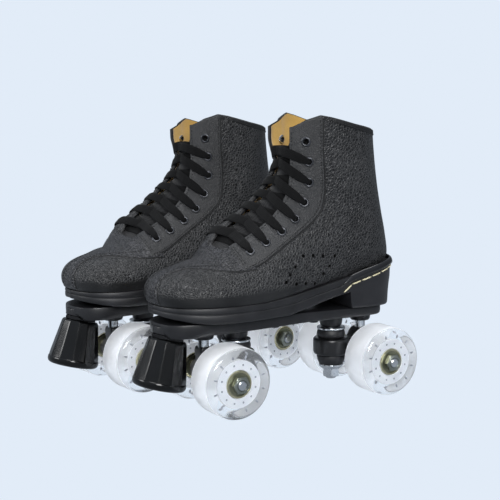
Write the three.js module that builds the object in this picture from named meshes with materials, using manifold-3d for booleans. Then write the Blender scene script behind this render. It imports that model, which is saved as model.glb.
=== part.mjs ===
// A pair of quad roller skates: laced ankle boots on bolted plates, each with two cushioned
// trucks, four wheels on double ball bearings and a screw-in toe stop.
// Units are millimetres, +Z up, toes towards +X. The left skate is modelled in its own frame
// (origin on the floor, midway between the axles, under the centreline; +Y is its outer side),
// the right skate is its mirror image, and the pair is then centred over the origin.
import * as THREE from "three";
import { mergeVertices } from "three/addons/utils/BufferGeometryUtils.js";
import Module from "manifold-3d";

const wasm = await Module();
wasm.setup();

// ---------------------------------------------------------------- driving dimensions
const GAP = 0.3; // clearance left between touching pieces
const WHEEL_R = 29; // 58 mm wheel
const WHEEL_HALF_W = 16.5; // half of the 33 mm wheel width
const WHEEL_SIDES = 18;
const WHEEL_ROUND = 6; // edge radius of the tyre
const HALF_TRACK = 37.5; // wheel centre plane from the skate's centreline
const HALF_WHEELBASE = 73.1; // axle from the middle of the skate
const AXLE_R = 4; // 8 mm axle
const AXLE_TIP_Y = 58.1;
const BEARING_R = 11; // 22 mm outside
const BEARING_HALF_SPAN = 14.5; // outside face of each bearing from the wheel's centre plane
const BEARING_W = 7;
const KINGPIN_X = 47; // kingpins, inboard of the axles
const PIVOT_X = 77.5; // pivot pins, outboard of the axles
const PIVOT_Z = 55; // centre of the pivot ball
const RING_Z0 = 29.9; // hanger ring, bottom and top
const RING_Z1 = 44.3;
const RING_R = 15.5;
const CUSHION_R = 12.3;
const PLATE_TOP = 74.5;
const PLATE_BOTTOM = 64;
const STOP_TOP = [109.3, 60]; // x, z of the toe stop's top centre
const STOP_TILT = (13.4 * Math.PI) / 180; // the stop's axis leans forward going down
const STOP_H = 39.8;
const STOP_R0 = 15.8; // top
const STOP_R1 = 22.4; // bottom
const STOP_SIDES = 12;
const LEATHER = 3; // boot wall
const LACE_LOW = 2.4; // middle of the lower and the upper straps above the leather
const LACE_HIGH = 4.1;
const SLIT_HALF = 12; // half of the gap between the lace facings
const RIGHT_OFFSET = [30.8, -121.8]; // the right skate from the left one
const RIGHT_TURN = (5.5 * Math.PI) / 180;

// Boot form. Each row is one section through the boot, hung between a point on the top line
// (toe cap, instep, shin) and a point on the lower line (sole edge, heel, back of the shaft):
// front x, z, back x, z, half width, where along the section it is widest, roundness of each half.
const FORM = [
  [122.4, 98.0, 122.2, 94.5, 2.0, 0.5, 2.0, 2.0],
  [121.2, 103.0, 120.0, 89.5, 14.5, 0.52, 2.2, 2.4],
  [118.2, 107.6, 115.8, 86.2, 22.5, 0.55, 2.2, 2.8],
  [113.0, 111.8, 109.0, 84.0, 29.0, 0.58, 2.2, 3.2],
  [105.0, 115.0, 100.0, 82.4, 34.5, 0.61, 2.2, 3.6],
  [95.0, 117.4, 88.0, 81.6, 38.3, 0.64, 2.2, 4.0],
  [84.0, 120.0, 74.0, 81.0, 40.5, 0.66, 2.1, 4.0],
  [72.5, 123.6, 59.0, 81.2, 41.0, 0.68, 2.0, 4.0],
  [60.5, 129.0, 42.0, 82.0, 39.5, 0.68, 1.95, 4.0],
  [48.5, 136.0, 22.0, 83.5, 36.5, 0.67, 1.9, 4.0],
  [37.0, 143.8, 0.0, 86.0, 34.0, 0.64, 1.9, 3.6],
  [27.0, 152.2, -24.0, 89.0, 32.5, 0.6, 1.9, 3.2],
  [18.5, 161.0, -48.0, 91.5, 31.5, 0.57, 1.95, 2.9],
  [12.0, 170.0, -73.0, 94.0, 31.0, 0.55, 2.0, 2.6],
  [8.0, 179.0, -92.0, 99.0, 31.0, 0.54, 2.05, 2.4],
  [6.0, 188.0, -99.0, 112.0, 31.2, 0.53, 2.1, 2.3],
  [5.0, 197.0, -97.2, 131.0, 31.6, 0.52, 2.1, 2.2],
  [4.5, 206.0, -92.4, 152.0, 32.2, 0.51, 2.15, 2.2],
  [4.2, 216.0, -87.8, 175.0, 33.0, 0.5, 2.2, 2.2],
  [4.0, 226.5, -84.2, 200.0, 33.6, 0.5, 2.2, 2.2],
  [4.0, 238.0, -82.0, 224.0, 34.0, 0.5, 2.2, 2.2],
  [4.0, 250.0, -81.0, 248.0, 34.2, 0.5, 2.2, 2.2],
];
// Feather line: height where the upper meets the sole, by x.
const FEATHER = [
  [130, 88.5],
  [40, 88.5],
  [10, 91],
  [-20, 96],
  [-48, 101.5],
  [-92, 109.5],
  [-110, 112.5],
];
// Top edge of the cuff, side view x, z: front corner of the flap, its peak, the back.
const CUFF = [
  [14, 226],
  [1.2, 226],
  [-6, 231.5],
  [-16.5, 235.3],
  [-26, 233.5],
  [-50, 227.5],
  [-84, 221],
  [-100, 220],
];
// Sole, side view and half width by x: [x, underside z, half width].
const SOLE = [
  [119.6, 80.4, 4.0],
  [118.0, 79.8, 13.5],
  [113.6, 78.8, 22.5],
  [106.0, 77.2, 30.0],
  [97.0, 75.9, 35.6],
  [86.0, 74.8, 39.4],
  [72.0, 74.8, 41.6],
  [55.0, 74.8, 41.0],
  [36.0, 74.8, 38.0],
  [14.0, 74.8, 34.4],
  [-6.0, 78.6, 31.6],
  [-26.0, 83.4, 30.2],
  [-47.6, 87.6, 30.0],
  [-49.6, 73.6, 30.0],
  [-68.0, 73.2, 30.2],
  [-82.0, 73.0, 28.2],
  [-92.0, 72.8, 23.4],
  [-97.4, 72.8, 16.6],
  [-101.6, 80.0, 4.0],
];
// Plate, side view and half width by x: [x, underside z, top z, half width].
const PLATE = [
  [118.4, 66.0, 74.2, 9.0],
  [115.5, 62.8, 74.3, 17.5],
  [108.0, 62.7, 74.4, 24.0],
  [97.0, 62.9, 74.5, 28.0],
  [86.0, 64.4, 74.5, 29.8],
  [60.0, 64.6, 74.5, 30.4],
  [30.0, 65.0, 74.5, 29.0],
  [0.0, 65.4, 74.3, 27.4],
  [-30.0, 65.2, 73.6, 26.6],
  [-60.0, 64.8, 72.9, 26.6],
  [-80.0, 64.6, 72.6, 23.4],
  [-86.5, 65.0, 72.5, 16.0],
];

// ---------------------------------------------------------------- small tools
const lerp = (a, b, f) => a + (b - a) * f;
function along(table, x, column = 1) {
  for (let i = 0; i + 1 < table.length; i++) {
    const [p, q] = [table[i], table[i + 1]];
    if ((x <= p[0] && x >= q[0]) || i + 2 === table.length)
      return lerp(p[column], q[column], (x - p[0]) / (q[0] - p[0]));
  }
}

// A geometry as a solid for joining and cutting.
function solid(geometry) {
  const g = geometry.index ? geometry.toNonIndexed() : geometry.clone();
  const bare = new THREE.BufferGeometry().setAttribute("position", g.getAttribute("position"));
  const merged = mergeVertices(bare, 1e-3);
  return new wasm.Manifold(
    new wasm.Mesh({
      numProp: 3,
      vertProperties: merged.attributes.position.array,
      triVerts: new Uint32Array(merged.index.array),
    }),
  );
}
function geometryOf(made) {
  const m = made.getMesh();
  const v = new Float32Array(m.numVert * 3);
  for (let i = 0; i < m.numVert; i++)
    v.set(m.vertProperties.subarray(i * m.numProp, i * m.numProp + 3), i * 3);
  const g = new THREE.BufferGeometry()
    .setAttribute("position", new THREE.BufferAttribute(v, 3))
    .setIndex(new THREE.BufferAttribute(new Uint32Array(m.triVerts), 1));
  g.computeVertexNormals();
  return g;
}

// Closed body through a row of rings, each the same number of points, ends capped.
function loft(rings) {
  const n = rings[0].length;
  const pos = [];
  const idx = [];
  for (const ring of rings) for (const p of ring) pos.push(...p);
  for (let i = 0; i + 1 < rings.length; i++)
    for (let k = 0; k < n; k++) {
      const a = i * n + k;
      const b = i * n + ((k + 1) % n);
      idx.push(a, b, b + n, a, b + n, a + n);
    }
  for (const [ring, flip] of [
    [0, true],
    [rings.length - 1, false],
  ]) {
    const c = pos.length / 3;
    const mid = [0, 0, 0];
    for (const p of rings[ring]) for (let k = 0; k < 3; k++) mid[k] += p[k] / n;
    pos.push(...mid);
    for (let k = 0; k < n; k++) {
      const a = ring * n + k;
      const b = ring * n + ((k + 1) % n);
      if (flip) idx.push(c, b, a);
      else idx.push(c, a, b);
    }
  }
  const g = new THREE.BufferGeometry()
    .setAttribute("position", new THREE.Float32BufferAttribute(pos, 3))
    .setIndex(idx);
  return solid(g).volume() < 0 ? flipped(g) : g;
}
function flipped(g) {
  const a = g.index.array;
  for (let i = 0; i < a.length; i += 3) [a[i + 1], a[i + 2]] = [a[i + 2], a[i + 1]];
  return g;
}

// Turned body about Z from a closed profile of [radius, height] pairs.
function turned(profile, sides, phase = Math.PI / sides) {
  const pts = profile.map(([r, z]) => new THREE.Vector2(r, z));
  const closed = profile.every(([r]) => r > 1e-6);
  if (closed) pts.push(pts[0].clone());
  const g = new THREE.LatheGeometry(pts, sides, phase);
  g.rotateX(Math.PI / 2);
  return solid(g).volume() < 0 ? flipped(g) : g;
}
// Prism from a polygon of [x, z] pairs in the side view, between two y values.
function sideways(polygon, y0, y1) {
  const shape = new THREE.Shape(polygon.map(([x, z]) => new THREE.Vector2(x, z)));
  const g = new THREE.ExtrudeGeometry(shape, { depth: y1 - y0, bevelEnabled: false });
  g.rotateX(Math.PI / 2);
  g.translate(0, y1, 0);
  return g;
}
// Faceted radius whose flats touch a circle of radius r.
const flats = (r, sides) => r / Math.cos(Math.PI / sides);

// ---------------------------------------------------------------- boot surface
function formAt(t) {
  const last = FORM.length - 1;
  const i = Math.min(Math.floor(t), last - 1);
  const f = t - i;
  const row = (k) => FORM[Math.min(Math.max(i + k, 0), last)];
  const [p0, p1, p2, p3] = [row(-1), row(0), row(1), row(2)];
  return p1.map(
    (_, c) =>
      0.5 *
      (2 * p1[c] +
        (p2[c] - p0[c]) * f +
        (2 * p0[c] - 5 * p1[c] + 4 * p2[c] - p3[c]) * f * f +
        (3 * p1[c] - p0[c] - 3 * p2[c] + p3[c]) * f * f * f),
  );
}
// Toes lean a little towards the inner side of the foot.
function lean(x) {
  const f = Math.min(Math.max((x - 20) / 100, 0), 1);
  return -3.6 * f * f * (3 - 2 * f);
}
// Point of the boot's surface: section t, angle phi (0 on the top line, pi on the lower line,
// positive on the outer side), pulled in by inset within the section.
function boot(t, phi, inset = 0) {
  const [fx, fz, bx, bz, w, m, n1, n2] = formAt(t);
  const len = Math.hypot(bx - fx, bz - fz);
  const [ux, uz] = [(bx - fx) / len, (bz - fz) / len];
  const mid = len * m;
  const c = Math.cos(phi);
  const s = Math.sin(phi);
  const n = c >= 0 ? n1 : n2;
  const reach = (c >= 0 ? mid : len - mid) - inset;
  const a = -Math.sign(c) * Math.pow(Math.abs(c), 2 / n) * Math.max(reach, 0.4);
  const side = Math.sign(s) * Math.pow(Math.abs(s), 2 / n) * Math.max(w - inset, 0.4);
  const x = fx + ux * (mid + a);
  const z = fz + uz * (mid + a);
  return [x, side + lean(x), z];
}
const BOOT_T = [0, 1, 2, 3.2, 4.6, 6.2, 7.8, 9.4, 11, 12.4, 13.6, 14.8, 16.2, 18, 21];
const BOOT_SIDES = 18;
function bootBody(inset, t0 = 0) {
  const rings = [];
  for (const t of BOOT_T.map((v) => Math.max(v, t0)).filter((v, i, l) => v !== l[i - 1])) {
    const ring = [];
    for (let k = 0; k < BOOT_SIDES; k++) ring.push(boot(t, (2 * Math.PI * (k + 0.5)) / BOOT_SIDES, inset));
    rings.push(ring);
  }
  return loft(rings);
}
const featherBand = (low, high) => [
  ...FEATHER.map(([x, z]) => [x, z + high]),
  ...[...FEATHER].reverse().map(([x, z]) => [x, low === null ? 40 : z + low]),
];
const aboveCuff = [...CUFF, [-140, 220], [-140, 300], [60, 300], [60, 226]];

function makeUpper() {
  // front slit between the lace facings: everything ahead of a line just inside the front wall
  const slit = [];
  for (let t = 7.9; t < 20; t += 1) {
    const [x, , z] = boot(t, 0, 9);
    slit.push([x, z]);
  }
  slit.push([-6, 260], [80, 260], [80, 150]);
  return solid(bootBody(0))
    .subtract(solid(bootBody(LEATHER, 1.5)))
    .subtract(solid(sideways(featherBand(null, 0), -80, 80)))
    .subtract(solid(sideways(aboveCuff, -80, 80)))
    .subtract(solid(sideways(slit, -SLIT_HALF, SLIT_HALF)));
}
function makeTongue() {
  const shell = solid(bootBody(LEATHER + 0.6, 1.6)).subtract(solid(bootBody(LEATHER + 3.4, 1.9)));
  const keep = [];
  for (let t = 7.3; t < 17.7; t += 0.9) {
    const [x, , z] = boot(t, 0, 13);
    keep.push([x, z]);
  }
  const [xe, , ze] = boot(17.6, 0, 12);
  keep.push([xe - 1, ze], [40, ze + 2], [110, 150]);
  return shell.intersect(solid(sideways(keep, -22, 22)));
}
function makeInsole() {
  return solid(bootBody(LEATHER + 0.6, 1.7)).intersect(
    solid(sideways(featherBand(GAP, 3.2), -80, 80)),
  );
}
// Section ring of a slab: rounded on its lower and upper corners.
function slabRing(x, z0, z1, w, y, tuck, round) {
  const r = Math.min(round, w * 0.5);
  return [
    [x, y - w + tuck + r, z0],
    [x, y + w - tuck - r, z0],
    [x, y + w - tuck, z0 + r],
    [x, y + w, z1 - r * 0.6],
    [x, y + w - r * 0.6, z1],
    [x, y - w + r * 0.6, z1],
    [x, y - w, z1 - r * 0.6],
    [x, y - w + tuck, z0 + r],
  ];
}
function makeSole() {
  return solid(
    loft(SOLE.map(([x, z, w]) => slabRing(x, z, along(FEATHER, x) - GAP, w, lean(x), 1.2, 1.6))),
  );
}
const EYELETS = [
  [-10.4, 22.5, 198.1],
  [-9.9, 23.0, 181.2],
  [-4.8, 23.9, 165.1],
  [3.4, 22.6, 151.6],
  [15.7, 20.9, 141.1],
  [29.7, 19.8, 132.2],
  [43.9, 18.8, 124.6],
];
// Section and angle of the boot surface nearest to a point.
function nearest(p) {
  let best = [Infinity, 0, 0];
  for (let t = 5; t < 20.5; t += 0.1)
    for (let phi = 0; phi < 2.2; phi += 0.02) {
      const q = boot(t, phi);
      const d = (q[0] - p[0]) ** 2 + (q[1] - p[1]) ** 2 + (q[2] - p[2]) ** 2;
      if (d < best[0]) best = [d, t, phi];
    }
  return best.slice(1);
}
// Flat lace: straps crossing from each eyelet to the next one down on the other side. The straps
// of one direction lie on the facings, the others lie over them, and both meet at the eyelets.
function makeLace() {
  const at = EYELETS.map(nearest);
  const spot = (t, phi) => {
    const here = new THREE.Vector3(...boot(t, phi));
    const up = new THREE.Vector3(...boot(t + 0.05, phi));
    const round = new THREE.Vector3(...boot(t, phi + 0.02));
    const normal = up.sub(here).cross(round.sub(here)).normalize();
    if (normal.x < 0) normal.negate();
    return [here, normal];
  };
  const block = (c, u, v, a, b) =>
    [[-1, -1], [1, -1], [1, 1], [-1, 1]].map(([i, j]) =>
      c.clone().addScaledVector(u, i * a).addScaledVector(v, j * b).toArray(),
    );
  const strap = (t0, p0, t1, p1, level) => {
    const rings = [];
    const steps = 4;
    for (let i = 0; i <= steps; i++) {
      const f = i / steps;
      const [here, normal] = spot(lerp(t0, t1, f), lerp(p0, p1, f));
      const ahead = new THREE.Vector3(...boot(lerp(t0, t1, f + 0.01), lerp(p0, p1, f + 0.01)));
      const wide = new THREE.Vector3().crossVectors(normal, ahead.sub(here)).normalize();
      rings.push(block(here.addScaledVector(normal, level), wide, normal, 3.6, 0.6));
    }
    return solid(loft(rings));
  };
  const post = (t, phi) => {
    const [here, normal] = spot(t, phi);
    const u = new THREE.Vector3(0, 0, 1).cross(normal).normalize();
    const v = normal.clone().cross(u);
    return solid(
      loft([LACE_LOW, LACE_HIGH].map((h) => block(here.clone().addScaledVector(normal, h), u, v, 1.7, 1.7))),
    );
  };
  const parts = [];
  for (let i = 0; i + 1 < at.length; i++)
    for (const s of [1, -1])
      parts.push(strap(at[i + 1][0], s * at[i + 1][1], at[i][0], -s * at[i][1], s > 0 ? LACE_LOW : LACE_HIGH));
  for (const [t, phi] of at) for (const s of [1, -1]) parts.push(post(t, s * phi));
  const low = at.length - 1;
  parts.push(post((at[low][0] + at[low - 1][0]) / 2, (at[low][1] - at[low - 1][1]) / 2));
  return parts.reduce((a, b) => a.add(b));
}

// ---------------------------------------------------------------- plate and running gear
function stopFrame(g) {
  g.rotateY(-STOP_TILT);
  g.translate(STOP_TOP[0], 0, STOP_TOP[1]);
  return g;
}
function makePlate() {
  let made = solid(loft(PLATE.map(([x, z0, z1, w]) => slabRing(x, z0, z1, w, lean(x) * 0.6, 1.2, 1.4))));
  for (const s of [1, -1]) {
    const boss = turned([[0, 54.2], [9.4, 54.2], [10.6, 66], [0, 66]], 12);
    boss.translate(s * KINGPIN_X, 0, 0);
    const cup = turned([[0, 56.6], [8.6, 56.6], [10, 66], [0, 66]], 12);
    cup.translate(s * PIVOT_X, 0, 0);
    const web = sideways(
      s > 0
        ? [[KINGPIN_X, 60], [PIVOT_X, 60.4], [PIVOT_X, 66], [KINGPIN_X, 66]]
        : [[-PIVOT_X, 60.4], [-KINGPIN_X, 60], [-KINGPIN_X, 66], [-PIVOT_X, 66]],
      -3,
      3,
    );
    const boltHole = turned([[0, 50], [flats(5.1, 10), 50], [flats(5.1, 10), 70.6], [0, 70.6]], 10);
    boltHole.translate(s * KINGPIN_X, 0, 0);
    const cupHole = turned([[0, 50], [flats(6.1, 10), 50], [flats(6.1, 10), 61.6], [0, 61.6]], 10);
    cupHole.translate(s * PIVOT_X, 0, 0);
    made = made.add(solid(boss)).add(solid(cup)).add(solid(web));
    made = made.subtract(solid(boltHole)).subtract(solid(cupHole));
  }
  // slanted seat and threaded hole for the toe stop
  made = made.add(solid(stopFrame(turned([[0, 3.4], [13.6, 3.4], [13.6, 9], [0, 9]], 14))));
  made = made.subtract(solid(stopFrame(turned([[0, -9], [17.5, -9], [15.2, 3.4], [0, 3.4]], 14))));
  made = made.subtract(solid(stopFrame(turned([[0, -2], [flats(7.9, 14), -2], [flats(7.9, 14), 24], [0, 24]], 14))));
  return made;
}
function makeToeStop() {
  const rubber = turned(
    [[0, -STOP_H], [STOP_R1 - 2.4, -STOP_H], [STOP_R1, -STOP_H + 2.6], [STOP_R0, -1.4], [STOP_R0 - 1.6, 0], [0, 0]],
    STOP_SIDES,
    0,
  );
  const stem = turned([[0, -1], [7.5, -1], [7.5, 13], [0, 13]], 14);
  return solid(stopFrame(rubber)).add(solid(stopFrame(stem)));
}
function makeStopNut() {
  return solid(stopFrame(turned([[flats(7.9, 14), 0.3], [13, 0.3], [13, 3.0], [flats(7.9, 14), 3.0]], 14)));
}
// Truck parts for the front; the rear ones are turned round.
function makeHanger() {
  // barrel along the axle, ring round the kingpin, wedge between them, arm to the pivot pin
  const barrel = turned(
    [[0, -22.7], [6.2, -22.7], [6.4, -20.4], [8.6, -19], [8.6, 19], [6.4, 20.4], [6.2, 22.7], [0, 22.7]],
    10,
  );
  barrel.rotateX(Math.PI / 2);
  barrel.translate(HALF_WHEELBASE, 0, WHEEL_R);
  const ring = turned([[0, RING_Z0], [RING_R - 0.8, RING_Z0], [RING_R, RING_Z0 + 1.4], [RING_R, RING_Z1 - 1.4], [RING_R - 0.8, RING_Z1], [0, RING_Z1]], 14);
  ring.translate(KINGPIN_X, 0, 0);
  const wedge = sideways(
    [[KINGPIN_X + 8, 31], [KINGPIN_X + 14, 30.2], [68, 22.5], [78, 24], [81, 31], [76, 38], [66, 42.6], [KINGPIN_X + 8, 43.2]],
    -8.2,
    8.2,
  );
  const arm = sideways([[64, 36], [69.5, 47], [73, 50.6], [82, 50.6], [83, 47], [81.2, 32]], -6.6, 6.6);
  const pin = turned([[0, 48], [4.5, 48], [4.5, 57.2], [3.2, 59.4], [0, 59.4]], 10);
  pin.translate(PIVOT_X, 0, 0);
  const kingpinHole = turned([[0, 20], [7.6, 20], [7.6, 55], [0, 55]], 10);
  kingpinHole.translate(KINGPIN_X, 0, 0);
  const bore = flats(AXLE_R + GAP, 10);
  const axleHole = turned([[0, -30], [bore, -30], [bore, 30], [0, 30]], 10);
  axleHole.rotateX(Math.PI / 2);
  axleHole.translate(HALF_WHEELBASE, 0, WHEEL_R);
  return solid(barrel)
    .add(solid(ring))
    .add(solid(wedge))
    .add(solid(arm))
    .add(solid(pin))
    .subtract(solid(kingpinHole))
    .subtract(solid(axleHole));
}
function makeKingpin() {
  // bolt with the top washer, the cup washer and the nut tightened on it
  const bolt = turned(
    [
      [0, 8.2], [4.0, 8.2], [4.8, 9.2], [4.8, 17.4], [8.6, 17.4], [10.6, 19.4], [10.6, 21], [4.8, 21],
      [4.8, 51.9], [12.2, 51.9], [12.2, 53.6], [4.8, 53.6], [4.8, 70], [0, 70],
    ],
    10,
  );
  const nut = turned([[0, 10], [flats(6.6, 6), 10], [flats(6.6, 6), 17.6], [0, 17.6]], 6);
  const made = solid(bolt).add(solid(nut));
  return made;
}
const cushion = (z0, z1, r0, r1) => {
  const mid = (z0 + z1) / 2;
  return turned([[flats(5.3, 14), z0], [r0, z0], [r0 + 0.5, mid], [r1, z1], [flats(5.3, 14), z1]], 14);
};
function makeWheel() {
  const [w, r] = [WHEEL_HALF_W, WHEEL_ROUND];
  const edge = [
    [WHEEL_R, w - r],
    [WHEEL_R - 1.75, w - 1.75],
    [WHEEL_R - r, w],
  ].map(([a, b]) => [flats(a, WHEEL_SIDES), b]);
  const bore = flats(BEARING_R + GAP, WHEEL_SIDES);
  const g = turned(
    [[bore, -w], ...[...edge].reverse().map(([a, b]) => [a, -b]), ...edge, [bore, w]],
    WHEEL_SIDES,
    Math.PI / WHEEL_SIDES,
  );
  return g;
}
function makeBearings() {
  const [s, w, bore] = [BEARING_HALF_SPAN, BEARING_W, flats(AXLE_R + GAP, 10)];
  return turned(
    [[bore, -s], [BEARING_R, -s], [BEARING_R, w - s], [6.4, w - s], [6.4, s - w], [BEARING_R, s - w], [BEARING_R, s], [bore, s]],
    10,
  );
}
function makeAxle() {
  return turned(
    [[0, -AXLE_TIP_Y], [AXLE_R - 1, -AXLE_TIP_Y], [AXLE_R, 1 - AXLE_TIP_Y], [AXLE_R, AXLE_TIP_Y - 1], [AXLE_R - 1, AXLE_TIP_Y], [0, AXLE_TIP_Y]],
    12,
  );
}
function makeNut() {
  const bore = flats(AXLE_R + GAP, 10);
  const hex = turned([[0, 0], [flats(6.4, 6), 0], [flats(6.4, 6), 4.6], [flats(6.4, 6) - 0.7, 5.3], [0, 5.3]], 6);
  const hole = turned([[0, -2], [bore, -2], [bore, 8], [0, 8]], 10);
  return solid(hex).subtract(solid(hole));
}

// ---------------------------------------------------------------- materials
const finish = {
  leather: { color: 0x26262a, roughness: 0.55, metalness: 0 },
  fabric: { color: 0x161618, roughness: 0.9, metalness: 0 },
  lining: { color: 0xc8963c, roughness: 0.85, metalness: 0 },
  sole: { color: 0x1c1c20, roughness: 0.45, metalness: 0 },
  plate: { color: 0x18181b, roughness: 0.4, metalness: 0 },
  stop: { color: 0x0b0b0d, roughness: 0.15, metalness: 0 },
  hanger: { color: 0x121214, roughness: 0.4, metalness: 0.4 },
  cushion: { color: 0x17171a, roughness: 0.7, metalness: 0 },
  steel: { color: 0xc9ccd0, roughness: 0.2, metalness: 1 },
  bearing: { color: 0xc4bd92, roughness: 0.25, metalness: 1 },
  wheel: { color: 0xf0f3f6, roughness: 0.12, metalness: 0 },
};
function piece(name, geometry, look) {
  const g = geometry.isBufferGeometry ? geometry : geometryOf(geometry);
  const mesh = new THREE.Mesh(g, new THREE.MeshStandardMaterial(finish[look]));
  mesh.name = name;
  return mesh;
}

// ---------------------------------------------------------------- one skate
const shared = {
  upper: geometryOf(makeUpper()),
  tongue: geometryOf(makeTongue()),
  insole: geometryOf(makeInsole()),
  sole: geometryOf(makeSole()),
  lace: geometryOf(makeLace()),
  plate: geometryOf(makePlate()),
  stop: geometryOf(makeToeStop()),
  stopNut: geometryOf(makeStopNut()),
  hanger: geometryOf(makeHanger()),
  kingpin: geometryOf(makeKingpin()),
  cushionTop: cushion(RING_Z1 + GAP, 51.6, CUSHION_R - 0.4, CUSHION_R - 0.7),
  cushionLow: cushion(21.3, RING_Z0 - GAP, CUSHION_R - 1.6, CUSHION_R),
  wheel: makeWheel(),
  bearings: makeBearings(),
  axle: makeAxle(),
  nut: geometryOf(makeNut()),
};
function skate(side) {
  const s = new THREE.Group();
  const put = (name, key, look, parent = s) => {
    const mesh = piece(side + "_" + name, shared[key], look);
    parent.add(mesh);
    return mesh;
  };
  put("boot_upper", "upper", "leather");
  put("tongue", "tongue", "fabric");
  put("insole", "insole", "lining");
  put("sole_unit", "sole", "sole");
  put("lace", "lace", "fabric");
  put("plate", "plate", "plate");
  put("toe_stop", "stop", "stop");
  put("toe_stop_locknut", "stopNut", "hanger");
  for (const [end, turn] of [
    ["front", 0],
    ["rear", Math.PI],
  ]) {
    const truck = new THREE.Group();
    truck.rotation.z = turn;
    s.add(truck);
    put(end + "_hanger", "hanger", "hanger", truck);
    put(end + "_kingpin", "kingpin", "steel", truck).position.x = KINGPIN_X;
    put(end + "_upper_cushion", "cushionTop", "cushion", truck).position.x = KINGPIN_X;
    put(end + "_lower_cushion", "cushionLow", "cushion", truck).position.x = KINGPIN_X;
    const axle = put(end + "_axle", "axle", "steel", truck);
    axle.rotation.x = Math.PI / 2;
    axle.position.set(HALF_WHEELBASE, 0, WHEEL_R);
    for (const [where, y] of [
      ["outer", turn ? -1 : 1],
      ["inner", turn ? 1 : -1],
    ]) {
      const hub = new THREE.Group();
      hub.position.set(HALF_WHEELBASE, y * HALF_TRACK, WHEEL_R);
      hub.rotation.x = (-Math.PI / 2) * y;
      truck.add(hub);
      put(end + "_" + where + "_wheel", "wheel", "wheel", hub).rotation.z = 0;
      put(end + "_" + where + "_bearings", "bearings", "bearing", hub);
      put(end + "_" + where + "_axle_nut", "nut", "steel", hub).position.z = BEARING_HALF_SPAN + GAP;
    }
  }
  return s;
}

const pair = new THREE.Group();
pair.add(skate("left"));
const mirrored = new THREE.Group();
mirrored.scale.y = -1;
mirrored.add(skate("right"));
const right = new THREE.Group();
right.position.set(RIGHT_OFFSET[0], RIGHT_OFFSET[1], 0);
right.rotation.z = RIGHT_TURN;
right.add(mirrored);
pair.add(right);

// Centre the pair over the origin, standing on z = 0.
pair.updateMatrixWorld(true);
const box = new THREE.Box3();
pair.traverse((o) => {
  if (!o.isMesh) return;
  const p = o.geometry.getAttribute("position");
  for (let i = 0; i < p.count; i++) box.expandByPoint(new THREE.Vector3().fromBufferAttribute(p, i).applyMatrix4(o.matrixWorld));
});
pair.position.set(-(box.min.x + box.max.x) / 2, -(box.min.y + box.max.y) / 2, -box.min.z);

const group = new THREE.Group();
group.add(pair);
export default group;
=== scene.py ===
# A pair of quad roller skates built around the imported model: laced boots, plates, trucks, wheels, toe stops.
# Skate coordinates are millimetres in the left skate's own frame (+X toes, +Y outer side, +Z up).
import bpy, bmesh, math
import numpy as np
from mathutils import Vector, Matrix
from mathutils.bvhtree import BVHTree


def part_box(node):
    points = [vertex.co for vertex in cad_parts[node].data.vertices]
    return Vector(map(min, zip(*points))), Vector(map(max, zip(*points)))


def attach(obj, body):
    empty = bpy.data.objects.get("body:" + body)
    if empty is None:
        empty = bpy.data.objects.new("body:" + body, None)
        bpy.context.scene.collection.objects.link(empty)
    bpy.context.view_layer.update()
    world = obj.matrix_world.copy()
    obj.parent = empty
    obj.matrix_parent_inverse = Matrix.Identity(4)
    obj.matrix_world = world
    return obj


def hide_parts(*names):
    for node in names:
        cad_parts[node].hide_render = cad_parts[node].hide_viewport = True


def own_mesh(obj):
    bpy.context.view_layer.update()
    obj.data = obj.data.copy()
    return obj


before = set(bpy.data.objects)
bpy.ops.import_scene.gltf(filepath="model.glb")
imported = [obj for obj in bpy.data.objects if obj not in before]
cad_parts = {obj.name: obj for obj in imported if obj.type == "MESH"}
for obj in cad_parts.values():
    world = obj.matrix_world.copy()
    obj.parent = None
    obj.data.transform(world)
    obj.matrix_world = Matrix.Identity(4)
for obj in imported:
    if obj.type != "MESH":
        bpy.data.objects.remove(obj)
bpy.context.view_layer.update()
SCENE = bpy.context.scene
RNG = np.random.RandomState(7)

# ------------------------------------------------------------------ dimensions
FORM = np.array([
    [122.4, 98.0, 122.2, 94.5, 2.0, 0.5, 2.0, 2.0], [121.2, 103.0, 120.0, 89.5, 14.5, 0.52, 2.2, 2.4],
    [118.2, 107.6, 115.8, 86.2, 22.5, 0.55, 2.2, 2.8], [113.0, 111.8, 109.0, 84.0, 29.0, 0.58, 2.2, 3.2],
    [105.0, 115.0, 100.0, 82.4, 34.5, 0.61, 2.2, 3.6], [95.0, 117.4, 88.0, 81.6, 38.3, 0.64, 2.2, 4.0],
    [84.0, 120.0, 74.0, 81.0, 40.5, 0.66, 2.1, 4.0], [72.5, 123.6, 59.0, 81.2, 41.0, 0.68, 2.0, 4.0],
    [60.5, 129.0, 42.0, 82.0, 39.5, 0.68, 1.95, 4.0], [48.5, 136.0, 22.0, 83.5, 36.5, 0.67, 1.9, 4.0],
    [37.0, 143.8, 0.0, 86.0, 34.0, 0.64, 1.9, 3.6], [27.0, 152.2, -24.0, 89.0, 32.5, 0.6, 1.9, 3.2],
    [18.5, 161.0, -48.0, 91.5, 31.5, 0.57, 1.95, 2.9], [12.0, 170.0, -73.0, 94.0, 31.0, 0.55, 2.0, 2.6],
    [8.0, 179.0, -92.0, 99.0, 31.0, 0.54, 2.05, 2.4], [6.0, 188.0, -99.0, 112.0, 31.2, 0.53, 2.1, 2.3],
    [5.0, 197.0, -97.2, 131.0, 31.6, 0.52, 2.1, 2.2], [4.5, 206.0, -92.4, 152.0, 32.2, 0.51, 2.15, 2.2],
    [4.2, 216.0, -87.8, 175.0, 33.0, 0.5, 2.2, 2.2], [4.0, 226.5, -84.2, 200.0, 33.6, 0.5, 2.2, 2.2],
    [4.0, 238.0, -82.0, 224.0, 34.0, 0.5, 2.2, 2.2], [4.0, 250.0, -81.0, 248.0, 34.2, 0.5, 2.2, 2.2]])
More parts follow.
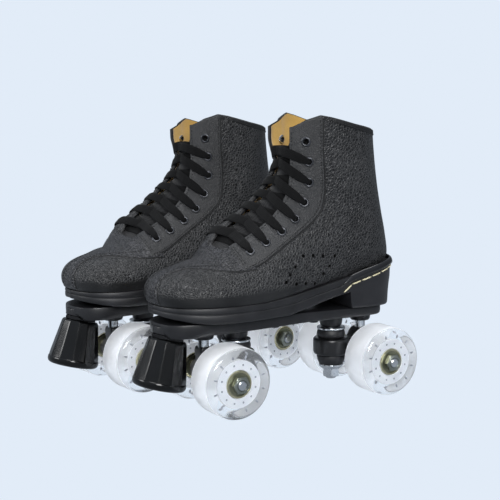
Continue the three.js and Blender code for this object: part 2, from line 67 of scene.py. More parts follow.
FEATHER = np.array([[-110, 112.5], [-92, 109.5], [-48, 101.5], [-20, 96], [10, 91], [40, 88.5], [130, 88.5]], float)
CUFF = np.array([[-100, 220], [-84, 221], [-50, 227.5], [-26, 233.5], [-16.5, 235.3], [-6, 231.5], [1.2, 226], [14, 226]], float)
SOLE = np.array([[119.6, 80.4, 4.0], [118.0, 79.8, 13.5], [113.6, 78.8, 22.5], [106.0, 77.2, 30.0], [97.0, 75.9, 35.6],
    [86.0, 74.8, 39.4], [72.0, 74.8, 41.6], [55.0, 74.8, 41.0], [36.0, 74.8, 38.0], [14.0, 74.8, 34.4], [-6.0, 78.6, 31.6],
    [-26.0, 83.4, 30.2], [-47.6, 87.6, 30.0], [-49.6, 73.6, 30.0], [-68.0, 73.2, 30.2], [-82.0, 73.0, 28.2],
    [-92.0, 72.8, 23.4], [-97.4, 72.8, 16.6], [-101.6, 80.0, 4.0]])
PLATE = np.array([[118.4, 66.0, 74.2, 9.0], [115.5, 62.8, 74.3, 17.5], [108.0, 62.7, 74.4, 24.0], [97.0, 62.9, 74.5, 28.0],
    [86.0, 64.4, 74.5, 29.8], [60.0, 64.6, 74.5, 30.4], [30.0, 65.0, 74.5, 29.0], [0.0, 65.4, 74.3, 27.4],
    [-30.0, 65.2, 73.6, 26.6], [-60.0, 64.8, 72.9, 26.6], [-80.0, 64.6, 72.6, 23.4], [-86.5, 65.0, 72.5, 16.0]])
EYELETS = [[-9.3, 20.7, 214.5], [-10.4, 22.5, 198.1], [-9.9, 23.0, 181.2], [-4.8, 23.9, 165.1], [3.4, 22.6, 151.6],
    [15.7, 20.9, 141.1], [29.7, 19.8, 132.2], [43.9, 18.8, 124.6]]
VENTS = [[0.8, 122.2], [-8.5, 121.7], [-18.1, 121.0], [-29.9, 120.1], [9.4, 114.1], [15.3, 108.0], [19.6, 102.3],
    [9.1, 100.1], [-0.5, 99.2], [-10.7, 98.3], [-18.7, 106.0], [-24.5, 111.7]]
WHEEL_R, HALF_TRACK, HALF_WHEELBASE, AXLE_TIP = 29.0, 37.5, 73.1, 57.7
KINGPIN_X, PIVOT_X = 47.0, 77.5
STOP_TOP, STOP_TILT, STOP_H = (109.3, 60.0), math.radians(13.4), 39.8
RIGHT_OFFSET, RIGHT_TURN = (30.8, -121.8), math.radians(5.5)

lo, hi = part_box("left_front_outer_wheel")
SH = np.array([73.1, 37.5, 29.0]) - (np.array(lo) + np.array(hi)) * 500.0
SH[2] = 0.0
CT, ST = math.cos(RIGHT_TURN), math.sin(RIGHT_TURN)


def to_row(p, side):
    """Skate millimetres to the row frame in metres."""
    p = np.array(p, float)
    if side == "right":
        x, y = p[..., 0], -p[..., 1]
        p = np.stack([CT * x - ST * y + RIGHT_OFFSET[0], ST * x + CT * y + RIGHT_OFFSET[1], p[..., 2]], -1)
    return (p - SH) / 1000.0


# ------------------------------------------------------------------ camera
F_PX, YAW, PITCH, ROLL, DIST = 1150.4, math.radians(29.708), math.radians(7.683), math.radians(-0.4664), 947.41
back = np.array([math.sin(YAW) * math.cos(PITCH), math.cos(YAW) * math.cos(PITCH), math.sin(PITCH)])
rgt = np.cross(-back, [0, 0, 1.0]); rgt /= np.linalg.norm(rgt)
upv = np.cross(rgt, -back)
right_v, up_v = math.cos(ROLL) * rgt + math.sin(ROLL) * upv, -math.sin(ROLL) * rgt + math.cos(ROLL) * upv
cam_pos = to_row(np.array([33.014, 0.0, 126.0]) + back * DIST, "left")
cam_data = bpy.data.cameras.new("camera")
cam_data.sensor_width, cam_data.lens = 36.0, 36.0 * F_PX / 500.0
cam_data.clip_start, cam_data.clip_end = 0.02, 50.0
cam = bpy.data.objects.new("camera", cam_data)
SCENE.collection.objects.link(cam)
m = Matrix.Identity(4)
for k in range(3):
    m[k][0], m[k][1], m[k][2], m[k][3] = right_v[k], up_v[k], back[k], cam_pos[k]
cam.matrix_world = m
SCENE.camera = cam
SCENE.view_settings.view_transform = "Standard"
SCENE.view_settings.look = "None"


# ------------------------------------------------------------------ small tools
def smooth01(x):
    x = np.clip(x, 0.0, 1.0)
    return x * x * (3 - 2 * x)


def unit(v):
    v = np.asarray(v, float)
    return v / np.maximum(np.linalg.norm(v, axis=-1, keepdims=True), 1e-12)


def catmull(points, n):
    """n points evenly spaced along a Catmull-Rom curve through the given points."""
    p = np.asarray(points, float)
    q = np.vstack([2 * p[0] - p[1], p, 2 * p[-1] - p[-2]])
    out = []
    for i in range(1, len(q) - 2):
        for f in np.linspace(0, 1, 24, endpoint=False):
            a, b, c, d = q[i - 1], q[i], q[i + 1], q[i + 2]
            out.append(0.5 * (2 * b + (c - a) * f + (2 * a - 5 * b + 4 * c - d) * f * f + (3 * b - a - 3 * c + d) * f ** 3))
    out.append(p[-1])
    out = np.array(out)
    s = np.concatenate([[0], np.cumsum(np.linalg.norm(np.diff(out, axis=0), axis=1))])
    u = np.linspace(0, s[-1], n)
    return np.stack([np.interp(u, s, out[:, k]) for k in range(out.shape[1])], -1)


def weld(verts, faces, tol=1e-3):
    key = np.round(np.asarray(verts) / tol).astype(np.int64)
    _, first, inv = np.unique(key, axis=0, return_index=True, return_inverse=True)
    inv = inv.reshape(-1)
    out, seen = [], set()
    for f in faces:
        g = []
        for v in f:
            w = int(inv[v])
            if not g or (g[-1] != w):
                g.append(w)
        if len(g) > 1 and g[0] == g[-1]:
            g.pop()
        if len(set(g)) < 3 or len(set(g)) != len(g):
            continue
        k = tuple(sorted(g))
        if k in seen:
            continue
        seen.add(k)
        out.append(g)
    return np.asarray(verts)[first], out


class Geo:
    """Vertices in skate millimetres, faces, and a material index for each face."""

    def __init__(self, v=None, f=None, mi=None):
        self.v = np.zeros((0, 3)) if v is None else np.asarray(v, float).reshape(-1, 3)
        self.f = [] if f is None else [list(map(int, q)) for q in f]
        self.mi = [0] * len(self.f) if mi is None else list(mi)
        self.flow = None

    def add(self, other):
        n = len(self.v)
        if other.flow is not None or self.flow is not None:
            a = self.flow if self.flow is not None else np.zeros((n, 3))
            b = other.flow if other.flow is not None else np.zeros((len(other.v), 3))
            self.flow = np.vstack([a, b])
        self.v = np.vstack([self.v, other.v])
        self.f += [[i + n for i in q] for q in other.f]
        self.mi += other.mi
        return self

    def moved(self, rot=None, at=(0, 0, 0)):
        g = Geo(self.v.copy(), self.f, self.mi)
        g.flow = self.flow
        if rot is not None:
            g.v = g.v @ np.asarray(rot).T
            if np.linalg.det(rot) < 0:
                g.f = [q[::-1] for q in g.f]
        g.v = g.v + np.asarray(at, float)
        return g


RX90 = np.array([[1, 0, 0], [0, 0, -1], [0, 1, 0.0]])  # z axis to -y
TURN_Z = np.diag([-1.0, -1.0, 1.0])


def rot_y(a):
    return np.array([[math.cos(a), 0, math.sin(a)], [0, 1, 0], [-math.sin(a), 0, math.cos(a)]])


def axis_y(sign):
    """Local +Z to skate +Y or -Y."""
    return np.array([[1, 0, 0], [0, 0, sign], [0, -sign, 0.0]])


def lathe(profile, segs=72, radius=None):
    """Body turned about Z from [r, z] pairs. radius(theta, r, z) may shape the rings."""
    prof = np.asarray(profile, float)
    th = np.linspace(0, 2 * np.pi, segs, endpoint=False)
    verts, ids = [], []
    for r, z in prof:
        if r < 1e-6:
            ids.append([len(verts)])
            verts.append([0, 0, z])
        else:
            rr = np.full(segs, r) if radius is None else radius(th, r, z)
            ids.append(list(range(len(verts), len(verts) + segs)))
            verts += np.stack([rr * np.cos(th), rr * np.sin(th), np.full(segs, z)], -1).tolist()
    faces = []
    closed = prof[0][0] > 1e-6 and prof[-1][0] > 1e-6
    n = len(prof)
    for i in range(n if closed else n - 1):
        a, b = ids[i], ids[(i + 1) % n]
        for k in range(segs):
            l = (k + 1) % segs
            q = [a[k % len(a)], a[l % len(a)], b[l % len(b)], b[k % len(b)]]
            q = [v for j, v in enumerate(q) if v not in q[:j]]
            if len(q) >= 3:
                faces.append(q)
    return outward(Geo(verts, faces))


def outward(g):
    vol = 0.0
    v = g.v
    for q in g.f:
        for j in range(1, len(q) - 1):
            vol += np.dot(v[q[0]], np.cross(v[q[j]], v[q[j + 1]]))
    if vol < 0:
        g.f = [q[::-1] for q in g.f]
    return g


def rounded(profile, r=0.5, n=4):
    """A [r, z] or [x, y] outline with its corners rounded; points on the axis stay."""
    p = [np.array(q[:2], float) for q in profile]
    rad = [q[2] if len(q) > 2 else r for q in profile]
    out = []
    m_ = len(p)
    closed = not (p[0][0] < 1e-6 or p[-1][0] < 1e-6)
    for i in range(m_):
        if not closed and i in (0, m_ - 1):
            out.append(p[i])
            continue
        a, b, c = p[i - 1], p[i], p[(i + 1) % m_]
        la, lc = np.linalg.norm(a - b), np.linalg.norm(c - b)
        if rad[i] <= 0 or la < 1e-6 or lc < 1e-6:
            out.append(b)
            continue
        d = min(rad[i], 0.45 * la, 0.45 * lc)
        s, e = b + (a - b) / la * d, b + (c - b) / lc * d
        for k in range(n + 1):
            f = k / n
            out.append((1 - f) ** 2 * s + 2 * f * (1 - f) * b + f * f * e)
    return out


def loft(rings, cap=True):
    rings = [np.asarray(r, float) for r in rings]
    n = len(rings[0])
    verts = np.vstack(rings)
    faces = []
    for i in range(len(rings) - 1):
        for k in range(n):
            a, b = i * n + k, i * n + (k + 1) % n
            faces.append([a, b, b + n, a + n])
    if cap:
        faces.append(list(range(n))[::-1])
        faces.append([(len(rings) - 1) * n + k for k in range(n)])
    return outward(Geo(verts, faces))


def ribbon(path, wide, w, th, npts=14, power=3.2):
    """Flat strap along a path: rounded section w wide and th thick, wide axis given at each point."""
    path = np.asarray(path, float)
    n = len(path)
    tan = unit(np.gradient(path, axis=0))
    wide = unit(wide - (wide * tan).sum(-1, keepdims=True) * tan)
    up = unit(np.cross(tan, wide))
    w = np.broadcast_to(w, n); th = np.broadcast_to(th, n)
    a = np.linspace(0, 2 * np.pi, npts, endpoint=False)
    cx = np.sign(np.cos(a)) * np.abs(np.cos(a)) ** (2 / power)
    cy = np.sign(np.sin(a)) * np.abs(np.sin(a)) ** (2 / 2.2)
    s = np.concatenate([[0], np.cumsum(np.linalg.norm(np.diff(path, axis=0), axis=1))])
    rings, flow = [], []
    for i in range(n):
        rings.append(path[i] + np.outer(cx * w[i] / 2, wide[i]) + np.outer(cy * th[i] / 2, up[i]))
        flow.append(np.stack([np.full(npts, s[i]), cx * w[i] / 2, cy], -1))
    g = loft(rings)
    g.flow = np.vstack(flow)
    return g


def capsules(points, normals, length, gap, radius, lift=0.1, sides=7, wob=0.0):
    """Thread stitches laid end to end along a line on a surface."""
    p = np.asarray(points, float)
    s = np.concatenate([[0], np.cumsum(np.linalg.norm(np.diff(p, axis=0), axis=1))])
    at = lambda u: np.array([np.interp(u, s, p[:, k]) for k in range(3)])
    nat = lambda u: unit(np.array([np.interp(u, s, normals[:, k]) for k in range(3)]))
    g = Geo()
    u = gap / 2
    while u + length <= s[-1]:
        pts = []
        prof = [(-0.5, 0.0, -0.9), (-0.48, 0.6, -0.5), (-0.36, 1.0, 0.25), (0, 1.08, 0.5), (0.36, 1.0, 0.25), (0.48, 0.6, -0.5), (0.5, 0.0, -0.9)]
        rings = []
        off = RNG.uniform(-wob, wob) if wob else 0.0
        for f, r, h in prof:
            uu = u + length * (0.5 + f)
            c, nn = at(uu), nat(uu)
            t = unit(at(min(uu + 0.3, s[-1])) - at(max(uu - 0.3, 0)))
            b = unit(np.cross(nn, t))
            c = c + nn * (lift + h * radius * 0.6) + b * off * f * 2
            rr = max(r, 0.12) * radius
            a = np.linspace(0, 2 * np.pi, sides, endpoint=False)
            rings.append(c + np.outer(np.cos(a) * rr, b) + np.outer(np.sin(a) * rr, nn))
        g.add(loft(rings))
        u += length + gap
    return g


ALL = []


def make(name, geo, side, body, mats, angle=38.0, warp=True, replaces=()):
    v = geo.v
    if warp is not False:
        v = flap_warp(v, side)
    v = to_row(v, side)
    faces = [q[::-1] for q in geo.f] if side == "right" else geo.f
    me = bpy.data.meshes.new(side + "_" + name)
    me.from_pydata(v.tolist(), [], faces)
    mats = mats if isinstance(mats, (list, tuple)) else [mats]
    for mt in mats:
        me.materials.append(mt)
    me.polygons.foreach_set("material_index", np.array(geo.mi, np.int32))
    if geo.flow is not None:
        at = me.attributes.new("flow", "FLOAT_VECTOR", "POINT")
        at.data.foreach_set("vector", (geo.flow / 1000.0).astype(np.float32).ravel())
    me.update()
    me.validate()
    ob = bpy.data.objects.new(side + "_" + name, me)
    SCENE.collection.objects.link(ob)
    me.shade_smooth()
    me.set_sharp_from_angle(angle=math.radians(angle))
    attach(ob, side + "_" + body)
    if replaces:
        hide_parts(*[side + "_" + r for r in replaces])
    ALL.append(ob)
    return ob


def plain_object(geo, name):
    me = bpy.data.meshes.new(name)
    me.from_pydata(geo.v.tolist(), [], geo.f)
    me.polygons.foreach_set("material_index", np.array(geo.mi, np.int32))
    me.update()
    ob = bpy.data.objects.new(name, me)
    SCENE.collection.objects.link(ob)
    return ob


def read_back(ob):
    me = ob.data
    co = np.zeros(len(me.vertices) * 3)
    me.vertices.foreach_get("co", co)
    g = Geo(co.reshape(-1, 3), [list(p.vertices) for p in me.polygons], [p.material_index for p in me.polygons])
    bpy.data.objects.remove(ob)
    return g


def apply_modifiers(ob):
    dg = bpy.context.evaluated_depsgraph_get()
    me = bpy.data.meshes.new_from_object(ob.evaluated_get(dg))
    ob.modifiers.clear()
    ob.data = me
    return ob


def boolean(a, tools, op="DIFFERENCE"):
    """a cut by, or joined with, each of the tools; all in skate millimetres."""
    oa = plain_object(a, "tmp_a")
    obs = []
    for i, t in enumerate(tools):
        ob = plain_object(t, "tmp_t%d" % i)
        obs.append(ob)
        md = oa.modifiers.new("b%d" % i, "BOOLEAN")
        md.operation, md.object, md.solver = op, ob, "EXACT"
    apply_modifiers(oa)
    for ob in obs:
        bpy.data.objects.remove(ob)
    return read_back(oa)


def fused(parts, voxel=0.7, smooth=3, cut=()):
    """Cast body: parts joined, blended and smoothed."""
    g = Geo()
    for p in parts:
        g.add(p)
    ob = plain_object(g, "tmp_f")
    md = ob.modifiers.new("r", "REMESH")
    md.mode, md.voxel_size = "VOXEL", voxel
    ms = ob.modifiers.new("s", "SMOOTH")
    ms.factor, ms.iterations = 0.6, smooth
    dc = ob.modifiers.new("d", "DECIMATE")
    dc.ratio = 0.35
    apply_modifiers(ob)
    g = read_back(ob)
    return boolean(g, cut) if cut else g


# ------------------------------------------------------------------ boot surface
def form_at(t):
    t = np.asarray(t, float)
    last = len(FORM) - 1
    i = np.clip(np.floor(t).astype(int), 0, last - 1)
    f = (t - i)[..., None]
    r = lambda k: FORM[np.clip(i + k, 0, last)]
    p0, p1, p2, p3 = r(-1), r(0), r(1), r(2)
    return 0.5 * (2 * p1 + (p2 - p0) * f + (2 * p0 - 5 * p1 + 4 * p2 - p3) * f * f + (3 * p1 - p0 - 3 * p2 + p3) * f ** 3)


def lean(x):
    return -3.6 * smooth01((np.asarray(x, float) - 20) / 100)


def boot(t, phi, inset=0.0):
    t, phi, inset = np.broadcast_arrays(np.asarray(t, float), np.asarray(phi, float), np.asarray(inset, float))
    F = form_at(t)
    fx, fz, bx, bz, w, m_, n1, n2 = [F[..., k] for k in range(8)]
    L = np.hypot(bx - fx, bz - fz)
    ux, uz, mid = (bx - fx) / L, (bz - fz) / L, L * m_
    c, s = np.cos(phi), np.sin(phi)
    s = np.where(np.abs(s) < 1e-9, 0, s)
    n = np.where(c >= 0, n1, n2)
    reach = np.where(c >= 0, mid, L - mid) - inset
    a = -np.sign(c) * np.abs(c) ** (2 / n) * np.maximum(reach, 0.4)
    y = np.sign(s) * np.abs(s) ** (2 / n) * np.maximum(w - inset, 0.4)
    x = fx + ux * (mid + a)
    return np.stack([x, y + lean(x), fz + uz * (mid + a)], -1)


def normal(t, phi):
    e = 2e-3
    dt = boot(t + e, phi) - boot(t - e, phi)
    dp = boot(t, phi + e) - boot(t, phi - e)
    return unit(np.cross(dp, dt))


def surf(t, phi, h=0.0):
    t, phi = np.asarray(t, float), np.asarray(phi, float)
    return boot(t, phi) + normal(t, phi) * np.asarray(h, float)[..., None]


def feather(x):
    return np.interp(x, FEATHER[:, 0], FEATHER[:, 1])


def cuff(x):
    return np.interp(x, CUFF[:, 0], CUFF[:, 1])


OPEN_LINE = np.array([[75.0, 116.0], [60.0, 119.5], [43.9, 124.6], [29.7, 132.2], [15.7, 141.1], [3.4, 151.6], [-4.8, 165.1],
    [-9.9, 181.2], [-10.4, 198.1], [-9.3, 214.5]])
OPEN_BY = np.array([[0, 0, 0], [5, -6, 3], [8, -12, 7], [5.6, -9, 9.6], [4.4, -8, 10.2], [4, -8, 9.4], [3.6, -7.5, 6.4],
    [1.5, -4, 3.0], [0, 0, 0], [0, 0, 0]], float)


def flap_open(v, far):
    """The laced flap on the far side stands open: lifted and swung out along the eyelet line."""
    P = v[:, [0, 2]]
    best = np.full(len(v), 1e9)
    sd, by = np.zeros(len(v)), np.zeros((len(v), 3))
    for k in range(len(OPEN_LINE) - 1):
        a, b = OPEN_LINE[k], OPEN_LINE[k + 1]
        d = b - a
        L = np.hypot(*d)
        u = np.clip(((P - a) @ d) / L ** 2, 0, 1)
        q = P - (a + u[:, None] * d)
        dist = np.hypot(q[:, 0], q[:, 1])
        m = dist < best
        best[m] = dist[m]
        sd[m] = (np.sign(q @ np.array([-d[1], d[0]]) * -1) * dist)[m]
        by[m] = (OPEN_BY[k] + u[:, None] * (OPEN_BY[k + 1] - OPEN_BY[k]))[m]
    w = smooth01((sd + 24) / 24) * smooth01((far * v[:, 1] + 9) / 26) * smooth01((v[:, 2] - 108) / 12)
    by[:, 1] *= -far
    return v + by * w[:, None]


def flap_warp(v, side):
    """How the worn flaps stand: the far flap of each boot opens or sits a little lower."""
    v = np.array(v, float)
    v = flap_open(v, -1 if side == "left" else 1)
    x, y, z = v[:, 0].copy(), v[:, 1].copy(), v[:, 2].copy()
    front = smooth01((x + 55) / 50)
    far_y = -y if side == "left" else y
    edge = smooth01((22.5 - far_y) / 11)
    swing = smooth01((z - 194) / 24) * smooth01((far_y - 1) / 8) * front * (1.0 if side == "left" else 0.8)
    v[:, 0] += (4.5 * edge - 3.5 * (1 - edge)) * swing
    v[:, 1] += (-1 if side == "left" else 1) * 2.0 * edge * swing
    if side == "left":
        g = smooth01((z - 186) / 46) * front * smooth01((-y - 2) / 10)
        v[:, 1] -= 5.0 * g
        v[:, 0] -= 3.0 * g
        v[:, 2] += 1.6 * smooth01((z - 215) / 20) * smooth01((-y - 2) / 10) * smooth01((x + 70) / 40)
    else:
        g = smooth01((z - 195) / 40) * front * smooth01((y - 2) / 10)
        v[:, 1] += 1.5 * g
        v[:, 2] -= 4.2 * smooth01((z - 200) / 35) * smooth01((y - 2) / 10) * smooth01((x + 85) / 50)
    return v


def nearest(p):
    T, PH = np.meshgrid(np.arange(5, 20.6, 0.05), np.arange(0.0, 2.4, 0.01), indexing="ij")
    d = ((boot(T, PH) - np.asarray(p, float)) ** 2).sum(-1)
    k = np.unravel_index(np.argmin(d), d.shape)
    return float(T[k]), float(PH[k])


# facing edge: half width of the lacing gap by section
T0 = 7.95


def gap_half(t):
    e = np.clip((np.asarray(t, float) - T0) / 0.55, 0, 1)
    return (7.5 + 4.5 * np.clip((t - 8.0) / 3.5, 0, 1)) * np.sqrt(np.maximum(1 - (1 - e) ** 2, 0))


_phs = np.linspace(0, np.pi, 721)


def phi_start(t):
    g = float(gap_half(t))
    if g <= 0:
        return 0.0
    P = boot(t, _phs)
    y = P[:, 1] - lean(P[:, 0])
    k = np.argmax(y >= g)
    f = (g - y[k - 1]) / (y[k] - y[k - 1])
    return float(_phs[k - 1] + f * (_phs[k] - _phs[k - 1]))


def phi_end(t, lift=0.0):
    P = boot(t, _phs)
    d = P[:, 2] - feather(P[:, 0]) - lift
    bad = np.where(d < 0)[0]
    if len(bad) == 0:
        return math.pi
    k = max(bad[0], 1)
    f = d[k - 1] / (d[k - 1] - d[k])
    return float(_phs[k - 1] + f * (_phs[k] - _phs[k - 1]))


NC = 76  # columns of each half
T_ROWS = np.unique(np.round(np.concatenate([
    np.linspace(0, 1.2, 14), np.linspace(1.2, 7.9, 66), np.linspace(7.9, 8.6, 12), np.linspace(8.6, 17, 84), np.linspace(17, 21, 40)]), 4))
_fr = np.linspace(0, 1, NC)
_tab = np.zeros((len(T_ROWS), NC))
for _i, _t in enumerate(T_ROWS):
    a_, b_ = phi_start(_t), phi_end(_t)
    ph = np.linspace(a_, b_, 500)
    P_ = boot(_t, ph)
    s_ = np.concatenate([[0], np.cumsum(np.linalg.norm(np.diff(P_, axis=0), axis=1))])
    _tab[_i] = np.interp(_fr * s_[-1], s_, ph)
    _tab[_i, 0], _tab[_i, -1] = a_, b_


def column_phi(t, v):
    """Angle at section t of column fraction v (0 at the facing or the top line, 1 at the sole or the back)."""
    v = np.clip(np.asarray(v, float), 0, 1) * (NC - 1)
    t = np.asarray(t, float)
    i = np.clip(np.searchsorted(T_ROWS, t, side="right") - 1, 0, len(T_ROWS) - 2)
    f = (t - T_ROWS[i]) / (T_ROWS[i + 1] - T_ROWS[i])
    j = np.clip(np.floor(v).astype(int), 0, NC - 2)
    g = v - j
    q = lambda a, b: _tab[a, b]
    return (q(i, j) * (1 - g) + q(i, j + 1) * g) * (1 - f) + (q(i + 1, j) * (1 - g) + q(i + 1, j + 1) * g) * f


def cuff_t(v):
    """Section at which column v reaches the cuff's top edge."""
    ts = np.linspace(17, 20.95, 160)
    out = []
    for vv in np.atleast_1d(v):
        P = boot(ts, column_phi(ts, np.full_like(ts, vv)))
        d = cuff(P[:, 0]) - P[:, 2]
        k = np.argmax(d < 0) if (d < 0).any() else len(ts) - 1
        f = d[k - 1] / (d[k - 1] - d[k])
        out.append(ts[k - 1] + f * (ts[k] - ts[k - 1]))
    return np.array(out)


_cv = np.linspace(0, 1, 90)
_ct = cuff_t(_cv)
cuff_at = lambda v: np.interp(v, _cv, _ct)
WALL = 2.4


def boot_shell():
    """Upper as one closed sheet of leather with its lining: outer face, inner face, rolled edges."""
    low = T_ROWS[T_ROWS <= 17.0]
    top = np.linspace(0, 1, 34)[1:]
    tc = cuff_at(_fr)
    T = np.vstack([np.repeat(low[:, None], NC, 1)] + [(17 + (tc - 17) * s)[None, :] for s in top])
    PH = column_phi(T, np.broadcast_to(_fr, T.shape))
    nr = len(T)
    verts, faces, mi = [], [], []
    base = 0
    starts = np.array([phi_start(t) for t in low] + [1.0] * len(top))
    ends = PH[:, -1]
    for h in (1, -1):
        out = boot(T, PH * h)
        inn = boot(T, PH * h, WALL)
        out[0], inn[0] = [122.35, lean(122.3), 96.2], [119.9, lean(122.3), 96.2]
        rim_top = (out[-1] + inn[-1]) / 2 + [0, 0, 0.75]
        edge = unit(out[:, 0] - out[:, 1])
        rim_face = (out[:, 0] + inn[:, 0]) / 2 + edge * 0.7
        rim_face[-1] = rim_top[0]
        sz = nr * NC
        o0, i0 = base, base + sz
        r0, q0 = base + 2 * sz, base + 2 * sz + NC
        verts += [out.reshape(-1, 3), inn.reshape(-1, 3), rim_top, rim_face]
        base += 2 * sz + NC + nr
        O = lambda i, j: o0 + i * NC + j
        I = lambda i, j: i0 + i * NC + j

        def quad(q, m_):
            faces.append(q if h == 1 else q[::-1])
            mi.append(m_)
        for i in range(nr - 1):
            for j in range(NC - 1):
                quad([O(i, j), O(i, j + 1), O(i + 1, j + 1), O(i + 1, j)], 0)
                quad([I(i, j), I(i + 1, j), I(i + 1, j + 1), I(i, j + 1)], 1)
            if starts[i] > 0 or starts[i + 1] > 0:
                if starts[i] > 0:
                    quad([O(i, 0), O(i + 1, 0), q0 + i + 1, q0 + i], 2)
                    quad([q0 + i, q0 + i + 1, I(i + 1, 0), I(i, 0)], 2)
                else:
                    quad([O(i, 0), O(i + 1, 0), q0 + i + 1], 2)
                    quad([O(i, 0), q0 + i + 1, I(i, 0)], 2)
                    quad([q0 + i + 1, I(i + 1, 0), I(i, 0)], 2)
            if ends[i] < math.pi - 1e-6 or ends[i + 1] < math.pi - 1e-6:
                quad([O(i, NC - 1), I(i, NC - 1), I(i + 1, NC - 1), O(i + 1, NC - 1)], 1)
        for j in range(NC - 1):
            quad([O(nr - 1, j), O(nr - 1, j + 1), r0 + j + 1, r0 + j], 2)
            quad([r0 + j, r0 + j + 1, I(nr - 1, j + 1), I(nr - 1, j)], 2)
    V = np.vstack(verts)
    key = np.round(V / 2e-3).astype(np.int64)
    _, first, inv = np.unique(key, axis=0, return_index=True, return_inverse=True)
    inv = inv.reshape(-1)
    ff, mm, seen = [], [], set()
    for q, m_ in zip(faces, mi):
        g = [int(inv[a]) for a in q]
        g = [a for k, a in enumerate(g) if a != g[k - 1]]
        if len(set(g)) < 3 or len(set(g)) != len(g):
            continue
        k = tuple(sorted(g))
        if k in seen:
            continue
        seen.add(k)
        ff.append(g)
        mm.append(m_)
    used = sorted({a for q in ff for a in q})
    remap = {a: k for k, a in enumerate(used)}
    g = Geo(V[first][used], [[remap[a] for a in q] for q in ff], mm)
    return outward(g)


def panel(tphi, thick, bevel, sink=0.5, base=0.0):
    """Raised leather piece over the boot: tphi is a grid of (t, phi). Its edges are skived round."""
    t, ph = tphi[..., 0], tphi[..., 1]
    P = boot(t, ph)
    du = np.linalg.norm(np.diff(P, axis=0), axis=-1)
    dv = np.linalg.norm(np.diff(P, axis=1), axis=-1)
    z0 = np.zeros((1, P.shape[1])); z1 = np.zeros((P.shape[0], 1))
    a = np.vstack([z0, np.cumsum(du, 0)]); b = np.hstack([z1, np.cumsum(dv, 1)])
    d = np.minimum(np.minimum(a, a[-1:] - a), np.minimum(b, b[:, -1:] - b))
    f = np.clip(d / bevel, 0, 1)
    hgt = base + thick * (0.25 + 0.75 * np.sqrt(np.maximum(1 - (1 - f) ** 2, 0)))
    N = normal(t, ph)
    return slab(P + N * hgt[..., None], P - N * sink)


def slab(top, bottom):
    n, m_ = top.shape[:2]
    V = np.vstack([top.reshape(-1, 3), bottom.reshape(-1, 3)])
    F = []
    k = n * m_
    at = lambda i, j: i * m_ + j
    for i in range(n - 1):
        for j in range(m_ - 1):
            F.append([at(i, j), at(i, j + 1), at(i + 1, j + 1), at(i + 1, j)])
            F.append([k + at(i, j), k + at(i + 1, j), k + at(i + 1, j + 1), k + at(i, j + 1)])
    for i in range(n - 1):
        F.append([at(i, 0), at(i + 1, 0), k + at(i + 1, 0), k + at(i, 0)])
        F.append([at(i + 1, m_ - 1), at(i, m_ - 1), k + at(i, m_ - 1), k + at(i + 1, m_ - 1)])
    for j in range(m_ - 1):
        F.append([at(0, j + 1), at(0, j), k + at(0, j), k + at(0, j + 1)])
        F.append([at(n - 1, j), at(n - 1, j + 1), k + at(n - 1, j + 1), k + at(n - 1, j)])
    return outward(Geo(V, F))


def edges01(n, e):
    """0 to 1 with extra lines close to both ends."""
    core = np.linspace(e, 1 - e, n)
    return np.concatenate([[0, e * 0.2, e * 0.5], core, [1 - e * 0.5, 1 - e * 0.2, 1]])


# seams, as (section, angle) on the outer side; the inner side mirrors them
EYESTAY = np.array([[7.9, 0.985], [8.56, 1.004], [9.18, 1.015], [9.94, 1.0], [11.04, 1.004], [12.3, 1.03], [13.78, 1.045],
    [15.62, 1.068], [16.98, 1.092], [18.4, 1.10], [19.76, 1.108], [20.6, 1.112]])
FRONT_EDGE = np.array([[8.3, 0.20], [8.14, 0.40], [8.02, 0.62], [7.93, 0.84], [7.9, 0.985]])


def seam_phi(t):
    return np.interp(t, EYESTAY[:, 0], EYESTAY[:, 1])


def eyestay_grid(h, nu=110, nv=34):
    u = edges01(nu, 0.006)
    v = edges01(nv, 0.035)
    G = np.zeros((len(u), len(v), 2))
    fe = catmull(FRONT_EDGE, 200)
    for j, vv in enumerate(v):
        # front-bottom edge point of this column, then up the boot at a constant share between gap and seam
        a = np.array([np.interp(vv, np.linspace(0, 1, 200), fe[:, 0]), np.interp(vv, np.linspace(0, 1, 200), fe[:, 1])])
        ttop = 19.0
        for _ in range(6):
            ps = phi_start_fast(ttop) + 0.004
            ph = ps + vv * (seam_phi(ttop) - ps)
            ttop = float(cuff_at_phi(ph)) - 0.02
        for i, uu in enumerate(u):
            t = a[0] + (ttop - a[0]) * uu
            ps = phi_start_fast(t) + 0.006
            ph = ps + vv * (seam_phi(t) - ps)
            w = smooth01((t - a[0]) / 0.9)
            ph = a[1] * (1 - w) + ph * w
            G[i, j] = t, h * ph
    return G


_pst = np.array([phi_start(t) for t in T_ROWS])
phi_start_fast = lambda t: np.interp(t, T_ROWS, _pst)
_cp = np.array([column_phi(np.array([tt]), np.array([vv]))[0] for tt, vv in zip(_ct, _cv)])
cuff_at_phi = lambda ph: np.interp(ph, _cp, _ct)


# ------------------------------------------------------------------ materials
def lin(r, g, b):
    f = lambda c: (c / 255) / 12.92 if c <= 10 else ((c / 255 + 0.055) / 1.055) ** 2.4
    return (f(r), f(g), f(b), 1.0)


def material(name, color, rough=0.5, metal=0.0, spec=0.5, **extra):
    mt = bpy.data.materials.new(name)
    mt.use_nodes = True
    nt = mt.node_tree
    b = nt.nodes["Principled BSDF"]
    b.inputs["Base Color"].default_value = color
    b.inputs["Roughness"].default_value = rough
    b.inputs["Metallic"].default_value = metal
    b.inputs["Specular IOR Level"].default_value = spec
    for k, v in extra.items():
        b.inputs[k.replace("_", " ")].default_value = v
    return mt, nt, b


def node(nt, kind, **kw):
    n = nt.nodes.new(kind)
    for k, v in kw.items():
        if k in n.inputs:
            n.inputs[k].default_value = v
        else:
            setattr(n, k, v)
    return n


